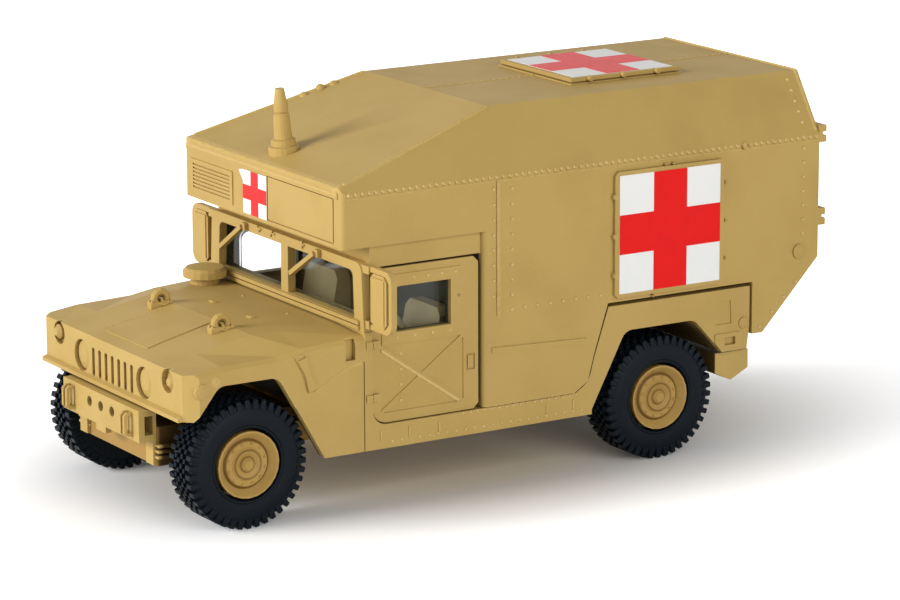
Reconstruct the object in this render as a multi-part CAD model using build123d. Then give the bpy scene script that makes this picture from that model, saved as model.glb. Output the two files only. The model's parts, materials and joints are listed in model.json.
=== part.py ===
from build123d import *
import os
from math import cos, hypot, radians, sin

# Scale model of a military ambulance truck, moulded in plastic, millimetres.
# +Z is up, -Y is the front, +X is the vehicle's left side.
# Stations are measured backwards from the front axle, heights up from the ground.

# Whole model
front_overhang = 7.2       # front tow hooks to front axle
wheelbase = 37.95
rear_overhang = 15.85      # rear axle to the rear hinges
body_half = 12.4           # half the width over the fenders
overrun = 2.0              # how far a cutter runs past what it cuts
seam = 0.08                # gap round a panel moulded as a separate piece
relief = 0.1               # height of a raised rib, depth of an engraved line
line_width = 0.14          # width of an engraved line
lamp_flat_count = 18       # flats round a headlamp, cap or cone
boss_flat_count = 12       # flats round a small lamp, ring or boss
flatness = 1e-6            # largest twist of a face that counts as plane

length = front_overhang + wheelbase + rear_overhang
front_axle_y = front_overhang - length / 2
rear_axle_y = front_axle_y + wheelbase

# Tyres
wheel_radius = 5.1
tyre_width = 3.5
tyre_inset = 0.5           # the tyre's face inside the fender
tyre_face_x = body_half - tyre_inset
tyre_inner_radius = 2.66
tread_depth = 0.44
sidewall_bulge_radius = 3.85
bead_width = 0.3           # flat ring of the tyre round the rim
bead_inset = 0.25          # the bead's edge from the widest point of the sidewall
floor_inset = 0.34         # the tread floor's edge from the widest point
lug_count = 20             # on each shoulder, with a gap as wide as a lug between two
lug_inset = 0.3            # the lug's top edge from the widest point
lug_reach = 1.15           # how far a lug runs in from that edge
lug_slope = 0.15

# Rims and axles
rim_clearance = 0.02
rim_flat_count = 24
rim_lip = 0.14
groove_radius = 1.98
groove_depth = 0.52
disc_radius = 1.72
disc_depth = 0.28
ring_outer_radius = 1.34
ring_radius_middle = 1.12
ring_rise = 0.2
hub_radius = 0.7
hub_cap_radius = 0.36
hub_rise = 0.34
rim_back = 1.1             # the axle's end from the rim's face
axle_radius = 0.75
axle_clearance = 0.05
carrier_gap = 2.0          # between carrier and tyre
carrier_half = tyre_face_x - tyre_width - carrier_gap
carrier_length = 3.0
carrier_wall = 0.75

# Lower body: sills, floor, firewall, windscreen frame and rear quarters
body_wall = 0.9
sill_low = 4.8
sill_top = 6.72
floor_thickness = 0.8
floor_height = 5.8         # underside of the floor
nose_low = 9.15
cowl_station = 10.0
cowl_height = 14.2
frame_thickness = 0.68     # windscreen frame and firewall
door_length = 9.82
door_front_station = cowl_station + frame_thickness
door_rear_station = door_front_station + door_length
door_inset = 0.2           # the door's skin inside the fender's
door_half = body_half - door_inset
door_thickness = 0.8
door_corner = 1.3          # lower front corner
door_small_corner = 0.45
door_relief = 0.08

# Windscreen frame, upwards from the cowl
pane_rise = 0.9
pane_height = 3.75
frame_rim = 0.75
frame_base_inset = 0.1     # the frame's foot and top inside the fender's side
frame_top_inset = 0.45
frame_base_half = body_half - frame_base_inset
frame_top_half = body_half - frame_top_inset
frame_corner = 0.9
pane_low_margin = 1.43     # from the pane to the frame's edge
pane_top_margin = 1.27
pane_low_half = frame_base_half - pane_low_margin
pane_top_half = frame_top_half - pane_top_margin
pane_corner = 0.6
pillar_width = 1.1
gasket_height = 0.3        # raised strips under the panes
gasket_stand = 0.22
gasket_inset = 0.6
gasket_half = frame_base_half - gasket_inset
gasket_rises = (0.18, 0.56)
pane_low = cowl_height + pane_rise
pane_top = pane_low + pane_height
frame_top = pane_top + frame_rim

# Door window, ribs, handle and hinges
window_low = 13.9
window_height = 3.6
window_rim = 1.62          # door above the window
window_front_gap = 1.9
window_length = 5.3
window_corner = 0.7
window_frame = 0.95        # raised frame round the window
window_top = window_low + window_height
door_top = window_top + window_rim
window_front_station = door_front_station + window_front_gap
window_rear_station = window_front_station + window_length
recess_margin = 0.85       # pressed panel inside the lower half of the door
recess_rear_margin = 1.45
rib_width = 0.3
handle_rear_gap = 0.4
handle_width = 0.8
handle_low = 10.0
handle_height = 1.3
handle_frame = 0.16
hinge_block = 0.55
hinge_stand = 0.26
door_hinge_rises = (1.95, 6.2)   # above the sill

# Front wheel arch, stations from the front axle
front_arch_foot = -4.75
front_arch_shoulder = -2.7
front_arch_rear_shoulder = 2.35
front_arch_rear_foot = 6.4
front_arch_top = 11.74
arch_corner = 1.1

# Rear wheel arch and quarter, stations from the rear axle
rear_arch_foot = -6.95
rear_arch_foot_height = 5.2
rear_arch_shoulder = -3.75
rear_arch_rear_shoulder = 2.95
rear_arch_rear_foot = 5.75
rear_arch_top = 11.25
rear_arch_rear_height = 8.2
quarter_top = 13.4
quarter_rear = 8.45
quarter_chamfer = 1.9
quarter_chamfer_run = 0.25
quarter_panel = (3.85, 5.1, 6.55, 6.65)  # stations of the pressed panel's corners
quarter_panel_low = 10.5
quarter_panel_high = 12.45
quarter_panel_step = 11.65
lamp_box = (5.0, 7.45)     # stations of the rear lamp's raised box
lamp_box_low = 8.5
lamp_box_high = 9.75
lamp_hole = (5.95, 7.0)
lamp_hole_low = 8.75
lamp_hole_high = 9.4
reflector_station = 7.85
reflector_height = 10.4
reflector_radius = 0.5
pan_top = 12.2             # load floor over the rear wheels
pan_wall = 0.8
seam_line_station = 9.93   # upright joint line between fender panel and door pillar

# Hood
hood_wall = 0.8
hood_crease_inset = 4.2    # width of a fender's top
hood_crease_half = body_half - hood_crease_inset
hood_shoulder = 0.3        # bevel along the outer edge of the fenders
hood_rows = (
    # station, height on the middle, height at the fender's edge
    (-5.4, 12.75, 12.75),
    (-2.4, 13.36, 13.15),
    (2.4, 14.2, 13.3),
    (4.6, 14.2, 13.65),
    (cowl_station, 14.2, 14.0),
)
nose_inset = 0.9
nose_half = body_half - nose_inset
nose_cheek = 1.0           # length of the slanted corner between nose and fender
lip_out = 0.42
lip_height = 0.3
lip_fall = 0.15
hood_back_height = hood_rows[-1][1]
seam_step_station = 3.9
seam_step_height = 9.95
seam_low_station = 5.6
seam_low_height = 10.1
seam_high_station = 8.7
seam_high_height = 11.95
notch_station = 8.75
notch_low = 12.2
notch_high = 13.85
notch_width = 0.85
notch_depth = 0.5
latch = (
    # station, height of the latch strap's outline
    (3.75, 13.2),
    (4.45, 13.3),
    (5.2, 11.95),
    (5.85, 10.55),
    (5.3, 10.3),
    (4.5, 11.65),
)
boss_station = -4.2        # side marker lamp behind the nose corner
boss_height = 11.5
boss_radius = 0.62

# Grille and lamps
grille_slots = 7
grille_pitch = 1.08
grille_slot_width = 0.46
grille_slot_low = 9.6
grille_slot_top = 11.85
grille_depth = 0.32
headlamp_x = 5.25
headlamp_height = 10.85
headlamp_radius = 1.28
lamp_depth = 0.45
lens_gap = 0.14
lens_rise = 0.32
marker_inset = 2.35        # from the nose corner
marker_x = nose_half - marker_inset
marker_height = 11.85
marker_radius = 0.95
marker_lens_shift = 0.4    # the glass sits at the outer side of its recess
marker_lens_radius = 0.6
marker_lens_rise = 0.6

# Panel pressed in the middle of the hood
plate_front_station = -4.2
plate_rear_station = 1.7
plate_front_half = 3.58
plate_rear_half = 2.73
plate_lift = 0.08

# Shelter box, upwards from the cab roof
shelter_stand = 0.15       # the box stands out beyond the fenders
shelter_half = body_half + shelter_stand
shelter_wall = 0.8
shelter_front = 7.92
skirt_inset = 0.45
skirt_half = shelter_half - skirt_inset
skirt_gap = 0.08           # over the doors
skirt_height = 1.75
overhang_height = 4.35
brow_height = 0.45          # how far the roof's front edge stands above the belt
roof_rise = 4.85
skirt_low = door_top + skirt_gap
overhang_low = skirt_low + skirt_height
belt_height = overhang_low + overhang_height
roof_height = belt_height + roof_rise
roof_lean = 3.21           # how far the roof's edge leans in from the side
roof_half = shelter_half - roof_lean
shelter_side_gap = 0.2     # behind the doors
roof_front_gap = 2.36      # the roof's crease behind the cab's rear
shelter_side_front = door_rear_station + shelter_side_gap
roof_front = shelter_side_front + roof_front_gap
post_corner = 0.4
shelter_low = 6.8

# Shelter stations from the rear axle
wheel_cut_foot = -8.75
wheel_cut_front = -7.45
wheel_cut_front_height = 7.62
wheel_cut_step = -6.85
wheel_cut_step_height = 9.8
wheel_cut_rear = -5.55
wheel_cut_top = 13.75
tail_step_front = 8.6
tail_low_rear = 9.65
tail_low = 9.4
tail_kink_height = 15.1
hinge_out = 0.7
shelter_rear = rear_overhang - hinge_out

# Shelter surface: vent, framed field and lips on the front, ribs on the sides
field_low = 0.3            # above the overhang's underside
field_height = 3.65
field_right = 1.05
front_margin = 1.1         # from field and vent to the box's sides
vent_left = -4.45
vent_low = 0.55
vent_height = 2.7
vent_lines = 7
vent_margin = 0.42
lip_drop = 0.42
lip_stand = 0.12
side_rib_gap = 1.2         # behind the front edge of the side
side_rib_low = 14.1
crease_front_gap = 0.75
crease_front_height = 11.35
crease_rear_height = 10.98
crease_width = 0.42
tail_boss_station = 13.2
tail_boss_height = 15.75
tail_boss_radius = 0.62
tail_boss_rise = 0.3

# Rear doors
rear_post = 2.95           # width of the box's corner beside the rear doors
rear_door_width = shelter_half - rear_post
rear_door_low = 13.2
rear_door_drop = 1.55      # below the roof
rear_door_recess = 0.5
rear_door_thickness = 0.9
rear_hinge_width = 1.0
rear_hinge_height = 1.4
rear_hinge_gap = 0.3
rear_hinge_drop = 4.85
rear_hinge_rise = 5.2
rear_door_top = roof_height - rear_door_drop

# Cross panels
panel_width = 10.55
panel_height = 10.25
panel_thickness = 0.3
panel_corner = 0.3
panel_gap = 0.35           # over the wheel cut
side_panel_station = 0.18  # centre, from the rear axle
roof_panel_station = 0.95
roof_panel_lift = 0.22
roof_panel_grow = 0.16
panel_low = wheel_cut_top + panel_gap

# Glazing
glass_thickness = 0.5
glass_lap = 0.3

# Cab interior
tub_height = 7.4
tunnel_half = 4.2
tunnel_top = 11.6
seat_half = 2.6
seat_centre = 7.7
seat_cushion_top = 10.6
seat_back_top = 14.7
seat_back_thickness = 1.1
seat_back_lean = 0.7
seat_length = 4.6
seat_gap = 1.5             # to the rear of the cab
seat_corner = 0.6
tub_inset = 1.2            # room between the fender's side and the seat floor
dash_inset = 1.6
tub_half = body_half - tub_inset
dash_half = body_half - dash_inset
dash_low = 12.4
dash_height = 2.5
dash_depth = 1.6
dash_slope = 0.7
dash_top = dash_low + dash_height
wheel_ring_radius = 1.95
wheel_ring_wire = 0.26
steering_tilt = 40.0
steering_height = 14.1
steering_gap = 3.3         # to the windscreen's back
steering_column = 0.3

# Chassis
rail_half = 4.2
rail_width = 1.4
rail_low = 4.4
rail_top = 5.8
chassis_front = -4.9
nose_box_half = carrier_half - relief
nose_box_top = 7.5
nose_box_rear = 7.0
sump_half = 2.6
sump_low = 3.4
sump_rear = 15.0
tray_top = 7.6             # rear tray over the axle
tray_station = -5.45       # its front, from the rear axle
tank_front = 8.6           # fuel tank under the floor
tank_length = 8.4
tank_low = 4.9
tank_inset = 1.4

# Front bumper
bumper_half = carrier_half
bumper_low = 6.5
bumper_height = 2.5
bumper_station = -6.5
bumper_depth = 1.3
bumper_plate = 0.5
bumper_hole_radius = 0.42
bumper_hole_pitch = 1.9
bumper_hole_rise = 1.5
hook_x = 4.9
hook_pitch = 0.6
hook_wire = 0.26
hook_height = 1.9
hook_out = 0.7
hook_corner = 0.25
bumper_arm_width = 1.0
horn_x = (5.1, 5.6, 6.1)   # ribs of the bracket at each end of the bumper
horn_rib = 0.2
horn_low = 4.5
tow_half = 0.8
tow_low = 6.0
bumper_top = bumper_low + bumper_height

# Rear step
step_half = tyre_face_x
step_top = 8.0
step_front = 5.45          # stations from the rear axle
step_front_height = 6.35
step_low = 5.6
step_low_station = 7.0
step_rear = 8.7
step_rear_height = 6.45

# Mirrors
mirror_station = 10.55
mirror_reach = 3.75        # out from the door
mirror_low = 14.55
mirror_height = 4.95
mirror_strap = 0.42
mirror_depth = 0.5
mirror_corner = 0.9
mirror_head_share = 0.62   # of the reach
mirror_head_gap = 0.16     # between the head and its outer bracket
mirror_head_depth = 0.75
mirror_head_corner = 0.4
mirror_head_step = 0.26
mirror_knuckle = 0.62
mirror_knuckle_stand = 0.15
mirror_root_inset = 0.5    # how far the brackets run in behind the door's skin
mirror_root_x = door_half - mirror_root_inset
mirror_outer = door_half + mirror_reach
mirror_high = mirror_low + mirror_height

# Wipers, rings, cap and cone
wiper_rows = (
    # name, x of the pivot, x of the tip
    ("right", -6.2, -9.8),
    ("left", 5.5, 1.7),
)
wiper_drop = 2.3
wiper_width = 0.36
wiper_pivot = 0.6
ring_x = 5.0
ring_station = 1.5
ring_radius = 0.58
ring_wire = 0.25
ring_foot = 0.36
ring_foot_half = 1.0
cap_inset = 2.8            # from the fender's side
cap_station = 8.0
cap_radius = 1.8
cap_edge = 0.24
cap_height = 0.75
cap_neck_radius = 1.2
cap_neck = 0.55
cone_station = 10.1
cone_tilt = 4.0
cone_profile = (
    # radius, height above the roof
    (1.24, 0.45),
    (0.98, 0.5),
    (0.98, 0.98),
    (0.72, 1.05),
    (0.63, 3.0),
    (0.5, 3.1),
    (0.58, 3.25),
    (0.56, 3.7),
    (0.36, 5.05),
)
AXES = {"x": (Axis.X, 1, 2), "y": (Axis.Y, 0, 2), "z": (Axis.Z, 0, 1)}


def along(station):
    """The y of a station measured back from the front axle."""
    return front_axle_y + station


def behind(station):
    """The y of a station measured back from the rear axle."""
    return rear_axle_y + station


def side_prism(points, low_x, high_x):
    """A side outline of (y, z) points carried across the width."""
    face = make_face(Polyline(*points, close=True))
    return extrude(Plane.YZ.offset(low_x) * face, amount=high_x - low_x, dir=(1, 0, 0))


def front_prism(points, low_y, high_y):
    """A front outline of (x, z) points carried along the length."""
    face = make_face(Polyline(*points, close=True))
    return extrude(Plane.XZ.offset(-low_y) * face, amount=high_y - low_y, dir=(0, 1, 0))


def top_prism(points, low_z, high_z):
    """A plan outline of (x, y) points carried upwards."""
    face = make_face(Polyline(*points, close=True))
    return extrude(Plane.XY.offset(low_z) * face, amount=high_z - low_z, dir=(0, 0, 1))


def block(low, high):
    """A box between two corners."""
    size = [b - a for a, b in zip(low, high)]
    return Pos(*low) * Box(*size, align=(Align.MIN, Align.MIN, Align.MIN))


def nearest_edges(solid, direction, places):
    """The edges along one direction that pass nearest to the given places."""
    axis, first, second = AXES[direction]
    edges = solid.edges().filter_by(axis)
    chosen = []
    for place in places:
        def miss(edge):
            centre = tuple(edge.center())
            return hypot(centre[first] - place[0], centre[second] - place[1])
        chosen.append(min(edges, key=miss))
    return chosen


def rounded(solid, direction, radius, places):
    """Rounds the edges along one direction that pass nearest to the given places."""
    return fillet(nearest_edges(solid, direction, places), radius)


def bevelled(solid, direction, size, places):
    """Bevels the edges along one direction that pass nearest to the given places."""
    return chamfer(nearest_edges(solid, direction, places), size)


def strip(start, end, width):
    """Four corners of a straight strip of some width about the line between two places."""
    run = [b - a for a, b in zip(start, end)]
    reach = hypot(*run)
    across = (-run[1] / reach * width / 2, run[0] / reach * width / 2)
    return [
        (start[0] + across[0], start[1] + across[1]),
        (end[0] + across[0], end[1] + across[1]),
        (end[0] - across[0], end[1] - across[1]),
        (start[0] - across[0], start[1] - across[1]),
    ]


def flat_faces(corners):
    """One plane face through four corners, or two triangles where they do not lie in a plane."""
    first, second, third, fourth = [Vector(*corner) for corner in corners]
    twist = (second - first).cross(third - first).dot(fourth - first)
    if abs(twist) < flatness:
        return [make_face(Polyline(*corners, close=True))]
    return [
        make_face(Polyline(corners[0], corners[1], corners[2], close=True)),
        make_face(Polyline(corners[0], corners[2], corners[3], close=True)),
    ]


def skin(outlines):
    """A solid of plane faces between the matching corners of outlines that follow each other."""
    faces = [make_face(Polyline(*outlines[0], close=True)), make_face(Polyline(*outlines[-1], close=True))]
    for near, far in zip(outlines, outlines[1:]):
        for i in range(len(near)):
            j = (i + 1) % len(near)
            faces += flat_faces([near[i], near[j], far[j], far[i]])
    return Solid(Shell(faces))


def faceted(points, flats):
    """A round form of plane flats about the Z axis, through rising (radius, height) points."""
    rings = []
    for radius, height in points:
        angles = [radians(360 * i / flats) for i in range(flats)]
        rings.append([(radius * cos(angle), radius * sin(angle), height) for angle in angles])
    return skin(rings)


def facing_front(solid, x, y, z):
    """Turns a solid that rises along Z to stand out of the front, and places it."""
    return Pos(x, y, z) * Rot(90, 0, 0) * solid


def facing_left(solid, x, y, z):
    """Turns a solid that rises along Z to stand out of the left side, and places it."""
    return Pos(x, y, z) * Rot(0, 90, 0) * solid


def front_arch_cut():
    points = [
        (along(front_arch_foot), -overrun),
        (along(front_arch_foot), nose_low),
        (along(front_arch_shoulder), front_arch_top),
        (along(front_arch_rear_shoulder), front_arch_top),
        (along(front_arch_rear_foot), sill_low),
        (along(front_arch_rear_foot), -overrun),
    ]
    cut = side_prism(points, -body_half - overrun, body_half + overrun)
    return rounded(cut, "x", arch_corner, points[2:4])


def rear_arch_cut():
    points = [
        (behind(rear_arch_foot), -overrun),
        (behind(rear_arch_foot), rear_arch_foot_height),
        (behind(rear_arch_shoulder), rear_arch_top),
        (behind(rear_arch_rear_shoulder), rear_arch_top),
        (behind(rear_arch_rear_foot), rear_arch_rear_height),
        (behind(rear_arch_rear_foot), -overrun),
    ]
    cut = side_prism(points, -body_half - overrun, body_half + overrun)
    return rounded(cut, "x", arch_corner, points[2:4])


def seam_points():
    """The line where the hood's fenders meet the lower body, from the arch up to the cowl."""
    return [
        (along(seam_step_station), seam_step_height),
        (along(seam_low_station), seam_low_height),
        (along(seam_high_station), seam_high_height),
        (along(cowl_station), seam_high_height),
    ]


def hood_form(inset, low):
    """The hood down to some height: a middle that slopes to the nose between two fender tops."""
    half = body_half - inset
    front = along(hood_rows[0][0]) + inset
    middle, shoulder, edge = [], [], []
    for station, middle_height, edge_height in hood_rows:
        y = max(front, along(station))
        middle.append((y, middle_height - inset))
        shoulder.append((y, edge_height - inset))
        edge.append((y, edge_height - inset - hood_shoulder))
    foot = [(along(cowl_station), low), (front, low)]
    form = side_prism(middle + foot, -hood_crease_half, hood_crease_half)
    places = ((hood_crease_half, middle), (half - hood_shoulder, shoulder), (half, edge))
    fender = skin([[(x, y, z) for y, z in line + foot] for x, line in places])
    form += fender
    form += mirror(fender, about=Plane.YZ)
    for side in (-1, 1):
        corner = [
            (side * (nose_half - inset), front - overrun),
            (side * (nose_half - inset), front),
            (side * half, front + nose_cheek),
            (side * (half + overrun), front + nose_cheek),
            (side * (half + overrun), front - overrun),
        ]
        form -= top_prism(corner, low - overrun, hood_back_height + overrun)
    return form


def under_seam():
    """All that lies below and behind the hood's seam with the lower body."""
    points = seam_points()
    points.append((along(cowl_station) + overrun, seam_high_height))
    points.append((along(cowl_station) + overrun, -overrun))
    points.append((along(seam_step_station), -overrun))
    return side_prism(points, -body_half - overrun, body_half + overrun)


def hood_shell():
    """The hood's outer form with the lip along the foot of the nose."""
    front = along(hood_rows[0][0])
    lip = [
        (front - lip_out, nose_low),
        (front - lip_out, nose_low + lip_height),
        (front, nose_low + lip_height + lip_fall),
        (front + hood_wall, nose_low + lip_height + lip_fall),
        (front + hood_wall, nose_low),
    ]
    form = hood_form(0, nose_low) + side_prism(lip, -nose_half, nose_half)
    return form - under_seam()


def lens(radius, rise, flats):
    """A round lamp glass with a bevelled edge."""
    return faceted([(radius, -rise), (radius, rise / 2), (radius / 2, rise)], flats)


def with_lamps(hood, front):
    """Sinks the headlamps and marker lamps in the nose and sets their glasses."""
    headlamp = faceted([(headlamp_radius, -lamp_depth), (headlamp_radius, lamp_depth)], lamp_flat_count)
    headlamp_lens = lens(headlamp_radius - lens_gap, lens_rise, lamp_flat_count)
    marker = faceted([(marker_radius, -lamp_depth), (marker_radius, lamp_depth)], boss_flat_count)
    marker_lens = lens(marker_lens_radius, marker_lens_rise, boss_flat_count)
    for side in (-1, 1):
        hood -= facing_front(headlamp, side * headlamp_x, front, headlamp_height)
        hood += facing_front(headlamp_lens, side * headlamp_x, front + lamp_depth, headlamp_height)
        hood -= facing_front(marker, side * marker_x, front, marker_height)
        lens_x = side * (marker_x + marker_lens_shift)
        hood += facing_front(marker_lens, lens_x, front + lamp_depth, marker_height)
    return hood


def grille_slot(x, front):
    """One upright slot of the grille with slanted corners."""
    half = grille_slot_width / 2
    slant = half / 2
    outline = [
        (x - half, grille_slot_low + slant),
        (x - half + slant, grille_slot_low),
        (x + half - slant, grille_slot_low),
        (x + half, grille_slot_low + slant),
        (x + half, grille_slot_top - slant),
        (x + half - slant, grille_slot_top),
        (x - half + slant, grille_slot_top),
        (x - half, grille_slot_top - slant),
    ]
    return front_prism(outline, front - overrun, front + grille_depth)


def make_hood():
    front = along(hood_rows[0][0])
    back = along(cowl_station)
    hood = hood_shell()
    plate_outline = [
        (-plate_front_half, along(plate_front_station)),
        (plate_front_half, along(plate_front_station)),
        (plate_rear_half, along(plate_rear_station)),
        (-plate_rear_half, along(plate_rear_station)),
    ]
    plate = top_prism(plate_outline, nose_low, hood_back_height + overrun)
    hood += (Pos(0, 0, plate_lift) * hood_form(0, nose_low)) & plate
    latch_outline = [(along(station), height) for station, height in latch]
    details = side_prism(latch_outline, body_half - relief, body_half + relief)
    boss = lens(boss_radius, 2 * relief, boss_flat_count)
    details += facing_left(boss, body_half, along(boss_station), boss_height)
    hood += details
    hood += mirror(details, about=Plane.YZ)
    hood -= hood_form(hood_wall, -overrun)
    cavity_half = body_half - hood_wall
    cavity_top = hood_rows[-1][2] - hood_wall - hood_shoulder
    hood -= block((-cavity_half, back - hood_wall, -overrun), (cavity_half, back, cavity_top))
    hood -= front_arch_cut()
    for i in range(grille_slots):
        hood -= grille_slot((i - (grille_slots - 1) / 2) * grille_pitch, front)
    hood = with_lamps(hood, front)
    notch_front = along(notch_station) - notch_width / 2
    notch_low_corner = (body_half - notch_depth, notch_front, notch_low)
    notch = block(notch_low_corner, (body_half + overrun, notch_front + notch_width, notch_high))
    hood -= notch
    return hood - mirror(notch, about=Plane.YZ)


def door_form(gap, low_x, high_x):
    """The door's side outline shrunk by a gap, with its corners rounded, as a prism."""
    front = along(door_front_station) + gap
    back = along(door_rear_station) - gap
    low = sill_top + gap
    high = door_top - gap
    form = side_prism([(front, low), (back, low), (back, high), (front, high)], low_x, high_x)
    form = rounded(form, "x", door_corner, [(front, low)])
    return bevelled(form, "x", door_small_corner, [(back, low), (back, high), (front, high)])


def windscreen_frame():
    y = along(cowl_station)
    outline = [
        (-frame_base_half, cowl_height),
        (frame_base_half, cowl_height),
        (frame_top_half, frame_top),
        (-frame_top_half, frame_top),
    ]
    frame = front_prism(outline, y, y + frame_thickness)
    frame = rounded(frame, "y", frame_corner, outline[2:])
    for side in (-1, 1):
        pane = [
            (side * pillar_width / 2, pane_low),
            (side * pane_low_half, pane_low),
            (side * pane_top_half, pane_top),
            (side * pillar_width / 2, pane_top),
        ]
        cut = front_prism(pane, y - overrun, y + frame_thickness + overrun)
        frame -= rounded(cut, "y", pane_corner, [pane[2]])
    for rise in gasket_rises:
        low = (-gasket_half, y - gasket_stand, cowl_height + rise)
        high = (gasket_half, y + frame_thickness / 2, cowl_height + rise + gasket_height)
        frame += block(low, high)
    return frame


def quarter_details(side, outer):
    """Presses the panel into the rear quarter, and adds the lamp box and reflector."""
    first, second, third, fourth = [behind(station) for station in quarter_panel]
    outline = [
        (first, quarter_panel_step),
        (first, quarter_panel_high),
        (third, quarter_panel_high),
        (fourth, quarter_panel_low),
        (second, quarter_panel_low),
    ]
    side -= side_prism(outline, outer - relief, outer + overrun)
    start, end = [behind(station) for station in lamp_box]
    side += block((outer - relief, start, lamp_box_low), (outer + relief, end, lamp_box_high))
    start, end = [behind(station) for station in lamp_hole]
    side -= block((outer - 2 * relief, start, lamp_hole_low), (outer + overrun, end, lamp_hole_high))
    reflector = lens(reflector_radius, 2 * relief, boss_flat_count)
    return side + facing_left(reflector, outer, behind(reflector_station), reflector_height)


def make_side():
    """The left side of the lower body: fender rear, pillar, sill and quarter in one wall."""
    half = body_half
    outline = seam_points() + [
        (along(cowl_station), cowl_height),
        (along(door_front_station), cowl_height),
        (along(door_front_station), sill_top),
        (behind(wheel_cut_foot), sill_top),
        (behind(wheel_cut_front), wheel_cut_front_height - seam),
        (behind(wheel_cut_step) + seam, wheel_cut_step_height),
        (behind(wheel_cut_rear) + seam, quarter_top),
        (behind(quarter_rear), quarter_top),
        (behind(quarter_rear), rear_arch_rear_height + quarter_chamfer),
        (behind(quarter_rear) - quarter_chamfer_run, rear_arch_rear_height),
        (behind(rear_arch_rear_foot), rear_arch_rear_height),
        (behind(rear_arch_rear_foot), sill_low),
        (along(front_arch_rear_foot), sill_low),
        (along(seam_step_station), nose_low),
    ]
    side = side_prism(outline, half - body_wall, half)
    side = rounded(side, "x", door_corner, [(along(door_front_station), sill_top)])
    side = quarter_details(side, half)
    line_y = along(seam_line_station)
    low = (half - relief, line_y - line_width / 2, sill_low)
    side -= block(low, (half + overrun, line_y + line_width / 2, seam_high_height))
    for rise in door_hinge_rises:
        y = along(door_front_station) - hinge_block / 2
        low = (half - relief, y - hinge_block / 2, sill_top + rise)
        side += block(low, (half + hinge_stand / 2, y + hinge_block / 2, sill_top + rise + hinge_block))
    return side


def make_lower_body():
    inner = body_half - body_wall
    side = make_side()
    body = side + mirror(side, about=Plane.YZ)
    low = (-inner, along(cowl_station), floor_height)
    body += block(low, (inner, behind(rear_arch_foot), floor_height + floor_thickness))
    body += block(low, (inner, along(door_front_station), cowl_height))
    pan = [
        (behind(rear_arch_foot), floor_height),
        (behind(rear_arch_foot), floor_height + floor_thickness),
        (behind(rear_arch_shoulder) - pan_wall, pan_top),
        (behind(rear_arch_rear_shoulder) + pan_wall, pan_top),
        (behind(rear_arch_rear_foot) + pan_wall, rear_arch_rear_height),
        (behind(rear_arch_rear_foot), rear_arch_rear_height),
        (behind(rear_arch_rear_foot), floor_height),
    ]
    body += side_prism(pan, -inner, inner)
    body += windscreen_frame()
    body -= front_arch_cut()
    body -= rear_arch_cut()
    return body


def shelter_outline():
    return [
        (along(shelter_front), overhang_low),
        (along(shelter_front), belt_height + brow_height),
        (along(roof_front), roof_height),
        (behind(shelter_rear), roof_height),
        (behind(shelter_rear), tail_kink_height),
        (behind(tail_low_rear), tail_low),
        (behind(tail_step_front), tail_low),
        (behind(tail_step_front), wheel_cut_top),
        (behind(wheel_cut_rear), wheel_cut_top),
        (behind(wheel_cut_step), wheel_cut_step_height),
        (behind(wheel_cut_front), wheel_cut_front_height),
        (behind(wheel_cut_foot), shelter_low),
        (along(shelter_side_front), shelter_low),
        (along(shelter_side_front), overhang_low),
    ]


def shelter_section(inset):
    """Front outline of the box with its leaning roof edges, drawn inset by a wall."""
    half = shelter_half - inset
    lean = roof_half - inset * roof_lean / roof_rise
    return [
        (-half, -overrun),
        (half, -overrun),
        (half, belt_height),
        (lean, roof_height - inset),
        (-lean, roof_height - inset),
        (-half, belt_height),
    ]


def shelter_form():
    """The shelter's outer form, its posts and front edge rounded."""
    low_y = along(shelter_front) - overrun
    high_y = behind(shelter_rear) + overrun
    form = side_prism(shelter_outline(), -shelter_half, shelter_half)
    form &= front_prism(shelter_section(0), low_y, high_y)
    posts = []
    for side in (-1, 1):
        posts.append((side * shelter_half, along(shelter_front)))
        posts.append((side * shelter_half, along(shelter_side_front)))
    return rounded(form, "z", post_corner, posts)


def with_front_marks(shelter):
    """Adds the vent, the engraved field and the lip to the face over the windscreen."""
    y = along(shelter_front)
    vent_bottom = overhang_low + vent_low
    vent_right = front_margin - shelter_half
    vent_top = vent_bottom + vent_height
    shelter += block((vent_right, y - relief, vent_bottom), (vent_left, y + relief, vent_top))
    pitch = (vent_height - 2 * vent_margin) / (vent_lines - 1)
    for i in range(vent_lines):
        z = vent_bottom + vent_margin + i * pitch
        low = (vent_right + vent_margin, y - overrun, z - line_width / 2)
        shelter -= block(low, (vent_left - vent_margin, y, z + line_width / 2))
    low_z = overhang_low + field_low
    high_z = low_z + field_height
    field_left = shelter_half - front_margin
    field = block((field_right, y - overrun, low_z), (field_left, y + relief, high_z))
    inner_low = (field_right + line_width, y - overrun, low_z + line_width)
    shelter -= field - block(inner_low, (field_left - line_width, y + relief, high_z - line_width))
    lip_low = (-skirt_half, y - lip_stand, belt_height - lip_drop)
    return shelter + block(lip_low, (skirt_half, y + relief, belt_height))


def side_marks():
    """Raised ribs of the left side: the upright joint, the lower crease and the tail boss."""
    low_x = shelter_half - relief
    high_x = shelter_half + relief
    rib_y = along(shelter_side_front + side_rib_gap)
    marks = block((low_x, rib_y, side_rib_low), (high_x, rib_y + rib_width, belt_height - lip_drop))
    crease_start = (along(shelter_side_front + crease_front_gap), crease_front_height)
    crease_end = (behind(wheel_cut_step - crease_front_gap), crease_rear_height)
    marks += side_prism(strip(crease_start, crease_end, crease_width), low_x, high_x)
    boss = lens(tail_boss_radius, tail_boss_rise, boss_flat_count)
    return marks + facing_left(boss, shelter_half, behind(tail_boss_station), tail_boss_height)


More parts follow.
